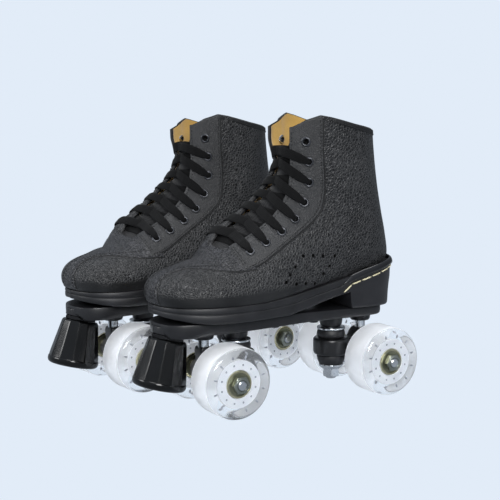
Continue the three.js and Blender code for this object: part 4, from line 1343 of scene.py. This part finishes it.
for x, w, nx, ny in ho:
    a, b = heel_under(x), stitch_z(x) + 0.6
    side = []
    for f in (0, 0.03, 0.1, 0.3, 0.5, 0.7, 0.9, 1.0):
        z = a + (b - a) * f
        d = 0.45 + (1.0 if f == 0 else 0.3 if f == 0.03 else 0.0) + 4.2 * max(0.0, (98 - z) / 26.0) * max(nx * -1, 0) ** 2 + 0.5 * math.sin(math.pi * min(max((z - 73) / 26, 0), 1)) * ny
        side.append([x - d * nx, max(w - d * ny, 0) if w > 0.02 else 0.0, z])
    L = side
    R = [[p[0], -p[1], p[2]] for p in side][::-1]
    fill = lambda p, q: [[p[0], p[1] + (q[1] - p[1]) * k / 4, p[2]] for k in range(1, 4)]
    heel_rings.append(L + fill(L[-1], R[0]) + R + fill(R[-1], L[0]))
g_ = loft(heel_rings, cap=True)
v_, f_ = weld(g_.v, g_.f, 2e-3)
u_ = sorted({a for q in f_ for a in q}); rm_ = {a: k for k, a in enumerate(u_)}
heel = outward(Geo(v_[u_], [[rm_[a] for a in q] for q in f_]))

# glossy strip round the heel seam, and the light stitching under it
so = ho[ho[:, 0] <= -39.5]
line = np.vstack([so[:, :2], (so[:-1, :2] * [1, -1])[::-1]])
nrm = np.vstack([so[:, 2:], (so[:-1, 2:] * [1, -1])[::-1]])
_s = np.concatenate([[0], np.cumsum(np.linalg.norm(np.diff(line, axis=0), axis=1))])
rand_z = lambda x: np.interp(x, [-102, -92, -60, -48, -39], [111.6, 110.2, 103.4, 99.6, 94.6])
tap = np.minimum(np.clip(_s / 9.0, 0.06, 1), np.clip((_s[-1] - _s) / 9.0, 0.06, 1))
path = np.column_stack([line + nrm * 0.1, rand_z(line[:, 0])])
wide = np.column_stack([np.zeros(len(path)), np.zeros(len(path)), np.ones(len(path))]) + np.column_stack([-nrm * 0.35, np.zeros(len(path))])
rand = ribbon(path, wide, 5.6 * tap ** 0.7, 2.6 * tap ** 0.5, 18, 2.4)
sp = np.column_stack([line + nrm * -0.35, [stitch_z(x) - 0.35 for x in line[:, 0]]])
stitches = capsules(sp, np.column_stack([nrm, np.zeros(len(nrm))]), 9.6, 1.3, 0.62, 0.15, 8)

plate_rows = [[x, w] for x, a, b, w in PLATE]
pz0 = lambda x: float(np.interp(x, PLATE[::-1, 0], PLATE[::-1, 1]))
pz1 = lambda x: float(np.interp(x, PLATE[::-1, 0], PLATE[::-1, 2]))
plate_c = lambda x: lean(x) * 0.6
plate_body = slab_loft(outline(plate_rows, 119.3, -87.0, 170), pz0, pz1,
    [(2.6, 0.0), (1.2, 0.02), (0.45, 0.12), (0.1, 0.3), (0.0, 0.55), (0.05, 0.86), (0.35, 0.96), (1.0, 1.0)], plate_c)


def stop_frame(g):
    return g.moved(rot_y(-STOP_TILT), (STOP_TOP[0], 0, STOP_TOP[1]))


def block(x0, x1, y, z0, z1, r=1.0):
    sec = rounded([[-y, z0, r], [y, z0, r], [y, z1, r], [-y, z1, r]], r, 3)
    return loft([[[x, p[0], p[1]] for p in sec] for x in (x0, x1)])


adds, cuts = [], []
for s in (1, -1):
    adds.append(lathe(rounded([[0, 54.2], [8.6, 54.2, 0.6], [9.5, 56, 0.6], [10.9, 67, 1], [0, 67]], 0.6), 56).moved(None, (s * KINGPIN_X, 0, 0)))
    adds.append(lathe(rounded([[0, 56.6], [7.9, 56.6, 0.6], [8.7, 58, 0.6], [10.2, 67, 1], [0, 67]], 0.6), 56).moved(None, (s * PIVOT_X, 0, 0)))
    a, b = sorted((s * KINGPIN_X, s * PIVOT_X))
    adds.append(block(a, b, 3.0, 60.2, 67))
    cuts.append(lathe([[0, 50], [5.1, 50], [5.1, 70.6], [0, 70.6]], 32).moved(None, (s * KINGPIN_X, 0, 0)))
    cuts.append(lathe([[0, 50], [6.1, 50], [6.1, 61.6], [0, 61.6]], 32).moved(None, (s * PIVOT_X, 0, 0)))
for y in (-13, 13):
    adds.append(block(-74, 92, 1.4, 62.6, 66).moved(None, (0, y, 0)))
adds.append(stop_frame(lathe(rounded([[0, 3.4], [13.6, 3.4, 0.8], [13.9, 9], [0, 9]], 0.6), 56)))
cuts.append(stop_frame(lathe([[0, -9], [17.5, -9], [15.2, 3.4], [0, 3.4]], 56)))
cuts.append(stop_frame(lathe([[0, -2], [7.9, -2], [7.9, 24], [0, 24]], 40)))
plate = Geo(plate_body.v, plate_body.f)
for a in adds:
    plate.add(a)

screw_prof = rounded([[0, 0], [1.6, 0, 0], [1.9, 1.2, 0], [2.2, 0.1, 0.2], [3.9, 0.1, 0.6], [4.3, 1.4, 0.6], [4.3, 2.6, 0.2], [0, 2.6]], 0.3, 3)
screws = Geo()
for x in (96, 22, -16, -64):
    for y in (-20, 20):
        if abs(x) > 90 and abs(y) > 16:
            y *= 0.8
        screws.add(lathe(screw_prof, 28).moved(None, (x, y + float(plate_c(x)), pz0(x) - 1.6)))

# ------------------------------------------------------------------ toe stop
def poly_radius(sides, blend):
    def f(th, r, z):
        a = (th % (2 * np.pi / sides)) - np.pi / sides
        flat = np.cos(np.pi / sides) / np.cos(a)
        k = blend(z)
        corner = np.minimum(flat, 0.996)
        return r * (corner * (1 - k) + (0.5 + 0.5 * math.cos(math.pi / sides)) * k)
    return f


def stop_r(z):
    return 15.8 + (22.4 - 15.8) * (-z - 1.4) / (39.8 - 2.6 - 1.4)


stop_prof = [[0, -39.8], [17.5, -39.8], [19.6, -39.6], [20.8, -39.1], [21.7, -38.2], [22.25, -37.0], [22.4, -35.8], [22.35, -34.6], [22.1, -33.9],
    [stop_r(-33.4) - 0.05, -33.4], [stop_r(-30), -30], [stop_r(-20), -20], [stop_r(-10), -10], [stop_r(-3), -3], [15.7, -1.6], [15.1, -0.6], [14.2, 0], [0, 0]]
stop_geo = stop_frame(lathe(stop_prof, 144, poly_radius(12, lambda z: float(smooth01((-z - 32.6) / 1.6)))))
stem_prof = [[0, -0.6], [7.2, -0.6]]
z = 0.0
while z < 12.4:
    stem_prof += [[7.0, z], [7.5, z + 0.45], [7.5, z + 0.6], [7.0, z + 1.05]]
    z += 1.2
stem_prof += [[6.4, 13.0], [0, 13.0]]
stem = stop_frame(lathe(stem_prof, 48))


def hex_radius(af, cap_r, z_end, slope=0.6):
    def f(th, r, z):
        a = (th % (np.pi / 3)) - np.pi / 6
        hx = (af / 2) / np.cos(a)
        return np.minimum(hx, cap_r + slope * 0 + r - af / 2 / math.cos(math.pi / 6))
    return f


def hexbody(af, z0, z1, bore=0.0, ch=0.9, segs=96):
    """Hex prism with both ends turned to a chamfer, and a bore through it."""
    rc = af / 2 / math.cos(math.pi / 6)
    fr = lambda th, r, z: np.minimum((af / 2) / np.cos((th % (np.pi / 3)) - np.pi / 6), r) if r > bore + 0.3 else np.full(len(th), r)
    prof = [[max(bore, 0), z0], [rc - ch, z0], [rc - ch * 0.35, z0 + ch * 0.25], [rc + 0.05, z0 + ch * 0.55], [rc + 0.05, z1 - ch * 0.55], [rc - ch * 0.35, z1 - ch * 0.25], [rc - ch, z1], [max(bore, 0), z1]]
    return lathe(prof, segs, fr)


stop_nut = stop_frame(hexbody(25.5, 0.3, 3.0, 7.9, 1.4))

# ------------------------------------------------------------------ trucks (front ones; the rear ones are turned round)
barrel = lathe(rounded([[0, -22.7], [6.2, -22.7, 0.3], [6.4, -20.4, 0.6], [8.4, -18.6, 1.2], [8.8, 0, 3], [8.4, 18.6, 1.2], [6.4, 20.4, 0.6], [6.2, 22.7, 0.3], [0, 22.7]], 0.6), 56).moved(RX90, (HALF_WHEELBASE, 0, WHEEL_R))
ring = lathe(rounded([[0, 29.9], [14.6, 29.9, 0.8], [15.5, 31.3, 0.8], [15.5, 42.9, 0.8], [14.6, 44.3, 0.8], [0, 44.3]], 0.8), 72).moved(None, (KINGPIN_X, 0, 0))


def side_body(poly, y0, y1, r=1.6):
    p = np.array(rounded([[a, b, 1.2] for a, b in poly], 1.2, 3))
    c = p.mean(0)
    out = []
    for y, k in ((y0, 0.93), (y0 + r * 0.5, 0.985), (y0 + r, 1.0), (y1 - r, 1.0), (y1 - r * 0.5, 0.985), (y1, 0.93)):
        out.append([[c[0] + (a - c[0]) * k, y, c[1] + (b - c[1]) * k] for a, b in p])
    return loft(out)


wedge = side_body([[55, 31], [61, 30.2], [68, 22.5], [78, 24], [81, 31], [76, 38], [66, 42.6], [55, 43.2]], -8.2, 8.2)
arm = side_body([[64, 36], [69.5, 47], [73, 50.6], [82, 50.6], [83, 47], [81.2, 32]], -6.6, 6.6)
hanger = fused([barrel, ring, wedge, arm], 0.75, 4, [
    lathe([[0, 20], [7.6, 20], [7.6, 55], [0, 55]], 40).moved(None, (KINGPIN_X, 0, 0)),
    lathe([[0, -30], [4.3, -30], [4.3, 30], [0, 30]], 32).moved(RX90, (HALF_WHEELBASE, 0, WHEEL_R))])
pin = lathe(rounded([[0, 46], [4.5, 46, 0], [4.5, 57.0, 0.8], [3.2, 59.4, 1.2], [0, 59.4]], 0.8), 36).moved(None, (PIVOT_X, 0, 0))
kp = lathe(rounded([[0, 8.2], [4.0, 8.2, 0.2], [4.8, 9.2, 0.2], [4.8, 17.4, 0], [8.6, 17.4, 0.3], [10.6, 19.4, 0.5], [10.6, 21.0, 0.3], [4.8, 21.0, 0],
    [4.8, 51.9, 0], [12.2, 51.9, 0.3], [12.2, 53.6, 0.4], [4.8, 53.6, 0], [4.8, 69.9, 0], [0, 69.9]], 0.3, 3), 64).moved(None, (KINGPIN_X, 0, 0))
kp_nut = hexbody(13.2, 10.0, 17.35, 4.85, 1.1).moved(None, (KINGPIN_X, 0, 0))
cush_top = lathe(rounded([[5.4, 44.6, 0.3], [11.4, 44.6, 0.9], [12.1, 46.4, 0.6], [12.3, 48.2, 0.6], [11.8, 50.2, 0.6], [11.2, 51.6, 0.9], [5.4, 51.6, 0.3]], 0.6), 64).moved(None, (KINGPIN_X, 0, 0))
cush_low = lathe(rounded([[5.4, 21.3, 0.3], [10.3, 21.3, 0.9], [11.4, 23.6, 1.0], [12.3, 26.0, 1.0], [12.2, 28.6, 0.6], [11.6, 29.6, 0.6], [5.4, 29.6, 0.3]], 0.6), 64).moved(None, (KINGPIN_X, 0, 0))
ax_prof = [[0, -AXLE_TIP], [3.0, -AXLE_TIP], [3.7, -AXLE_TIP + 0.5]]
z = -AXLE_TIP + 0.9
while z < -48:
    ax_prof += [[3.7, z], [4.0, z + 0.35], [4.0, z + 0.5], [3.7, z + 0.85]]
    z += 1.0
ax_prof += [[4.0, -47.5], [4.0, 47.5]] + [[r, -zz] for r, zz in ax_prof[::-1] if zz > -AXLE_TIP + 0.6] + [[3.7, AXLE_TIP - 0.5], [3.0, AXLE_TIP], [0, AXLE_TIP]]
axle = lathe(ax_prof, 40).moved(RX90, (HALF_WHEELBASE, 0, WHEEL_R))

# ------------------------------------------------------------------ wheels (axis Z, outer face up), then laid along Y
W = 16.5
tyre_half = [[11.6, 14.6], [12.6, 14.7], [15.5, 14.85], [19.0, 15.3], [22.0, 15.9], [23.0, 16.05], [24.9, 15.75], [26.4, 15.05], [27.7, 13.9], [28.5, 12.8], [28.88, 11.55], [29.0, 10.3], [29.0, 5.0], [29.0, 0.0]]
core_r = 19.6
bore_half = [[19.9, 0.0], [19.9, 11.0], [19.4, 12.6], [11.6, 13.0]]
tyre_prof = [[r, z] for r, z in tyre_half] + [[r, -z] for r, z in tyre_half[-2::-1]] + [[r, -z] for r, z in bore_half[::-1]] + bore_half[1:]
tyre = lathe(tyre_prof, 120)
_c = np.array([np.mean(np.asarray(tyre.v)[list(q)], 0) for q in tyre.f])
_r = np.hypot(_c[:, 0], _c[:, 1])
tyre = Geo(tyre.v, tyre.f, [1 if r > 28.2 or r < 21.5 and abs(z) < 14 else 0 for r, z in zip(_r, _c[:, 2])])
core_prof = rounded([[11.35, -12.8, 0.3], [18.7, -12.6, 0.8], [19.6, -11.2, 0.8], [19.6, -1.2, 0.3], [19.1, -0.8, 0.2], [19.1, 0.8, 0.2], [19.6, 1.2, 0.3], [19.6, 11.2, 0.8], [18.7, 12.6, 0.8],
    [11.35, 12.8, 0.3], [11.35, 7.2, 0.2], [9.8, 6.9, 0.2], [9.8, -6.9, 0.2], [11.35, -7.2, 0.2]], 0.4, 3)
core = lathe(core_prof, 96)
dots = Geo()
for k in range(12):
    a = 2 * math.pi * (k + 0.5) / 12
    for s in (1, -1):
        dots.add(lathe(rounded([[0, 12.35], [0.85, 12.35, 0.1], [0.85, 12.95, 0.3], [0, 13.0]], 0.2), 14).moved(np.diag([1.0, s, s]), (15.6 * math.cos(a), 15.6 * math.sin(a), 0)))
        dots.add(lathe(rounded([[0, 0.0], [0.8, 0.0, 0.1], [0.8, 0.9, 0.3], [0, 1.0]], 0.2), 14).moved(np.diag([1.9, s, s]) , (0, 0, 0)).moved(
            np.array([[math.cos(a), -math.sin(a), 0], [math.sin(a), math.cos(a), 0], [0, 0, 1.0]]), (22.0 * math.cos(a), 22.0 * math.sin(a), 13.6 * s)))
        n = np.array([math.cos(a), math.sin(a), 0.0])
        dots.add(lathe(rounded([[0, -0.3], [0.85, -0.3, 0.1], [0.85, 0.2, 0.2], [0, 0.22]], 0.2), 14).moved(basis(n), n * 19.6 + [0, 0, 6.5 * s]))
bear = Geo()
for s in (1, -1):
    bear.add(lathe(rounded([[9.2, 7.55, 0.2], [10.98, 7.55, 0.4], [10.98, 14.5, 0.5], [9.35, 14.5, 0.3], [9.2, 14.1, 0.1]], 0.3, 3), 80).moved(np.diag([1.0, s, s])))
    bear.add(lathe(rounded([[4.3, 7.55, 0.2], [5.8, 7.55, 0.2], [5.8, 14.5, 0.3], [4.3, 14.5, 0.3]], 0.3, 3), 64).moved(np.diag([1.0, s, s])))
shields = Geo()
for s in (1, -1):
    shields.add(lathe(rounded([[5.85, 13.3, 0.1], [9.15, 13.3, 0.1], [9.15, 13.85, 0.2], [8.4, 13.95, 0.2], [8.1, 13.7, 0.2], [6.6, 13.7, 0.2], [5.85, 13.85, 0.1]], 0.2, 3), 72).moved(np.diag([1.0, s, s])))
nut = hexbody(12.8, 0.0, 4.3, 4.25, 1.0).add(lathe(rounded([[4.3, 4.1, 0.1], [5.9, 4.1, 0.1], [5.7, 4.8, 0.3], [4.5, 4.8, 0.2]], 0.2, 3), 48))

# ------------------------------------------------------------------ the pair
for side in ("left", "right"):
    S = "skate"
    make("upper_shell", shell_cut, side, S, [M["leather"], M["lining"], M["edge"]], 42, replaces=["boot_upper"])
    for h, nm in ((0, "outer"), (1, "inner")):
        make("eyestay_" + nm, eyestays[h], side, S, M["leather_fine"], 42, replaces=["boot_upper"])
        make("cuff_binding_" + nm, bindings[h], side, S, M["edge"], 42, replaces=["boot_upper"])
    make("vamp_plug", plug, side, S, M["leather_plug"], 42, replaces=["boot_upper"])
    make("back_strip", strip, side, S, M["leather_fine"], 42, replaces=["boot_upper"])
    # the dark thread object also carries the painted seam shadow strips
    make("upper_stitching_and_seam_shadow", stitches_and_seam_shadow, side, S, M["thread_dark"], 60, replaces=["boot_upper"])
    # the near-black discs inside the air holes are painted shade
    make("air_hole_painted_shade", vent_shade_discs, side, S, M["hole"], 45, replaces=["boot_upper"])
    make("eyelets", rings, side, S, M["gunmetal"], 45, replaces=["boot_upper"])
    make("eyelet_washers", washers, side, S, M["steel"], 45, replaces=["boot_upper"])
    make("laces", laces[side], side, S, M["lace"], 60, replaces=["lace"])
    make("tongue_pad", tongue[side], side, S, M["tongue"], 50, replaces=["tongue"])
    make("insole_pad", insole, side, S, M["insole"], 50, replaces=["insole"])
    make("sole_band", band, side, S, M["sole"], 40, warp=False, replaces=["sole_unit"])
    make("heel_block", heel, side, S, M["heel"], 40, warp=False, replaces=["sole_unit"])
    make("heel_strip", rand, side, S, M["rand"], 50, warp=False, replaces=["sole_unit"])
    make("heel_stitching", stitches, side, S, M["thread_cream"], 60, warp=False, replaces=["sole_unit"])
    make("base_plate", plate, side, S, M["plate"], 32, warp=False, replaces=["plate"])
    make("plate_screws", screws, side, S, M["black_steel"], 35, warp=False, replaces=["plate"])
    make("stop_rubber", stop_geo, side, S, M["stop"], 12, warp=False, replaces=["toe_stop"])
    make("stop_stem", stem, side, S, M["black_steel"], 35, warp=False, replaces=["toe_stop"])
    make("stop_locknut", stop_nut, side, S, M["black_steel"], 30, warp=False, replaces=["toe_stop_locknut"])
    for end in ("front", "rear"):
        q = 1 if end == "front" else -1
        R = np.eye(3) if q == 1 else TURN_Z
        tr = lambda g: g.moved(R)
        T = end + "_truck"
        make(end + "_hanger_cast", tr(hanger), side, T, M["hanger"], 40, warp=False, replaces=[end + "_hanger"])
        make(end + "_pivot_pin", tr(pin), side, T, M["steel"], 35, warp=False, replaces=[end + "_hanger"])
        make(end + "_axle_rod", tr(axle), side, T, M["steel"], 35, warp=False, replaces=[end + "_axle"])
        make(end + "_king_bolt", tr(kp), side, S, M["steel"], 35, warp=False, replaces=[end + "_kingpin"])
        make(end + "_king_nut", tr(kp_nut), side, S, M["steel"], 25, warp=False, replaces=[end + "_kingpin"])
        ct = make(end + "_cushion_top", tr(cush_top), side, S, M["cushion"], 40, warp=False, replaces=[end + "_upper_cushion"])
        cl = make(end + "_cushion_low", tr(cush_low), side, S, M["cushion"], 40, warp=False, replaces=[end + "_lower_cushion"])
        c0 = to_row([q * KINGPIN_X, 0, 51.6], side)
        c1 = to_row([q * KINGPIN_X, 0, 21.3], side)
        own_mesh(ct)
        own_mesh(cl)
        for where, y in (("outer", 1), ("inner", -1)):
            at = (q * HALF_WHEELBASE, y * HALF_TRACK, WHEEL_R)
            A = axis_y(y)
            B = end + "_" + where + "_wheel_set"
            make(end + "_" + where + "_tyre", tyre.moved(A, at), side, B, [M["urethane"], M["tread"]], 30, warp=False, replaces=[end + "_" + where + "_wheel"])
            make(end + "_" + where + "_core", core.moved(A, at), side, B, M["core"], 30, warp=False, replaces=[end + "_" + where + "_wheel"])
            make(end + "_" + where + "_core_dots", dots.moved(A, at), side, B, M["dots"], 30, warp=False, replaces=[end + "_" + where + "_wheel"])
            make(end + "_" + where + "_races", bear.moved(A, at), side, B, M["bearing"], 30, warp=False, replaces=[end + "_" + where + "_bearings"])
            make(end + "_" + where + "_shields", shields.moved(A, at), side, B, M["shield"], 30, warp=False, replaces=[end + "_" + where + "_bearings"])
            make(end + "_" + where + "_nut", nut.moved(A, (at[0], at[1] + y * 14.8, at[2])), side, T, M["nut"], 25, warp=False, replaces=[end + "_" + where + "_axle_nut"])

for n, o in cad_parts.items():
    if not o.data.materials or o.hide_render:
        o.data.materials.clear()
        o.data.materials.append(M["sole"])

# ------------------------------------------------------------------ floor and light
BG = lin(226, 236, 248)


def backdrop():
    mt, nt, b = material("pale_floor", BG, 0.9, 0, 0.1)
    b.inputs["Base Color"].default_value = (0.0, 0.0, 0.0, 1)
    b.inputs["Specular IOR Level"].default_value = 0.0
    b.inputs["Emission Color"].default_value = BG
    lp = nt.nodes.new("ShaderNodeLightPath")
    see = mathn(nt, "MAXIMUM", lp.outputs["Is Camera Ray"], lp.outputs["Is Transmission Ray"])
    nt.links.new(mathn(nt, "ADD", mathn(nt, "MULTIPLY", see, 0.55), 0.45), b.inputs["Emission Strength"])
    me = bpy.data.meshes.new("floor")
    r = 9.0
    n = 96
    vs = [[r * math.cos(2 * math.pi * k / n), r * math.sin(2 * math.pi * k / n), -0.0002] for k in range(n)]
    me.from_pydata(vs, [], [list(range(n))])
    me.materials.append(mt)
    ob = bpy.data.objects.new("floor", me)
    SCENE.collection.objects.link(ob)


backdrop()
world = bpy.data.worlds.new("studio")
SCENE.world = world
world.use_nodes = True
wn = world.node_tree
wn.nodes["Background"].inputs["Color"].default_value = BG
lp = wn.nodes.new("ShaderNodeLightPath")
see = mathn(wn, "MAXIMUM", lp.outputs["Is Camera Ray"], lp.outputs["Is Transmission Ray"])
gen = wn.nodes.new("ShaderNodeTexCoord")
dot = wn.nodes.new("ShaderNodeVectorMath")
dot.operation = "DOT_PRODUCT"
dot.inputs[1].default_value = (0.55, 0.15, 0.82)
wn.links.new(gen.outputs["Generated"], dot.inputs[0])
side_light = mathn(wn, "ADD", mathn(wn, "MULTIPLY", dot.outputs["Value"], 0.4), 0.32)
side_light = mathn(wn, "MAXIMUM", side_light, 0.12)
keep = mathn(wn, "SUBTRACT", 1.0, see)
wn.links.new(mathn(wn, "ADD", see, mathn(wn, "MULTIPLY", keep, side_light)), wn.nodes["Background"].inputs["Strength"])


def area(name, loc, target, size, watts, color=(1, 1, 1)):
    ld = bpy.data.lights.new(name, "AREA")
    ld.shape, ld.size, ld.energy, ld.color = "DISK", size, watts, color
    ob = bpy.data.objects.new(name, ld)
    SCENE.collection.objects.link(ob)
    d = Vector(target) - Vector(loc)
    ob.rotation_mode = "QUATERNION"
    ob.rotation_quaternion = d.to_track_quat("-Z", "Y")
    ob.location = loc
    return ob


area("key", (0.55, 1.45, 0.85), (0, 0.05, 0.14), 0.7, 22)
area("left_soft", (1.35, -0.45, 0.8), (0, 0, 0.12), 0.6, 8)
area("top_soft", (-0.3, 0.1, 1.7), (0, 0, 0.1), 1.2, 13)
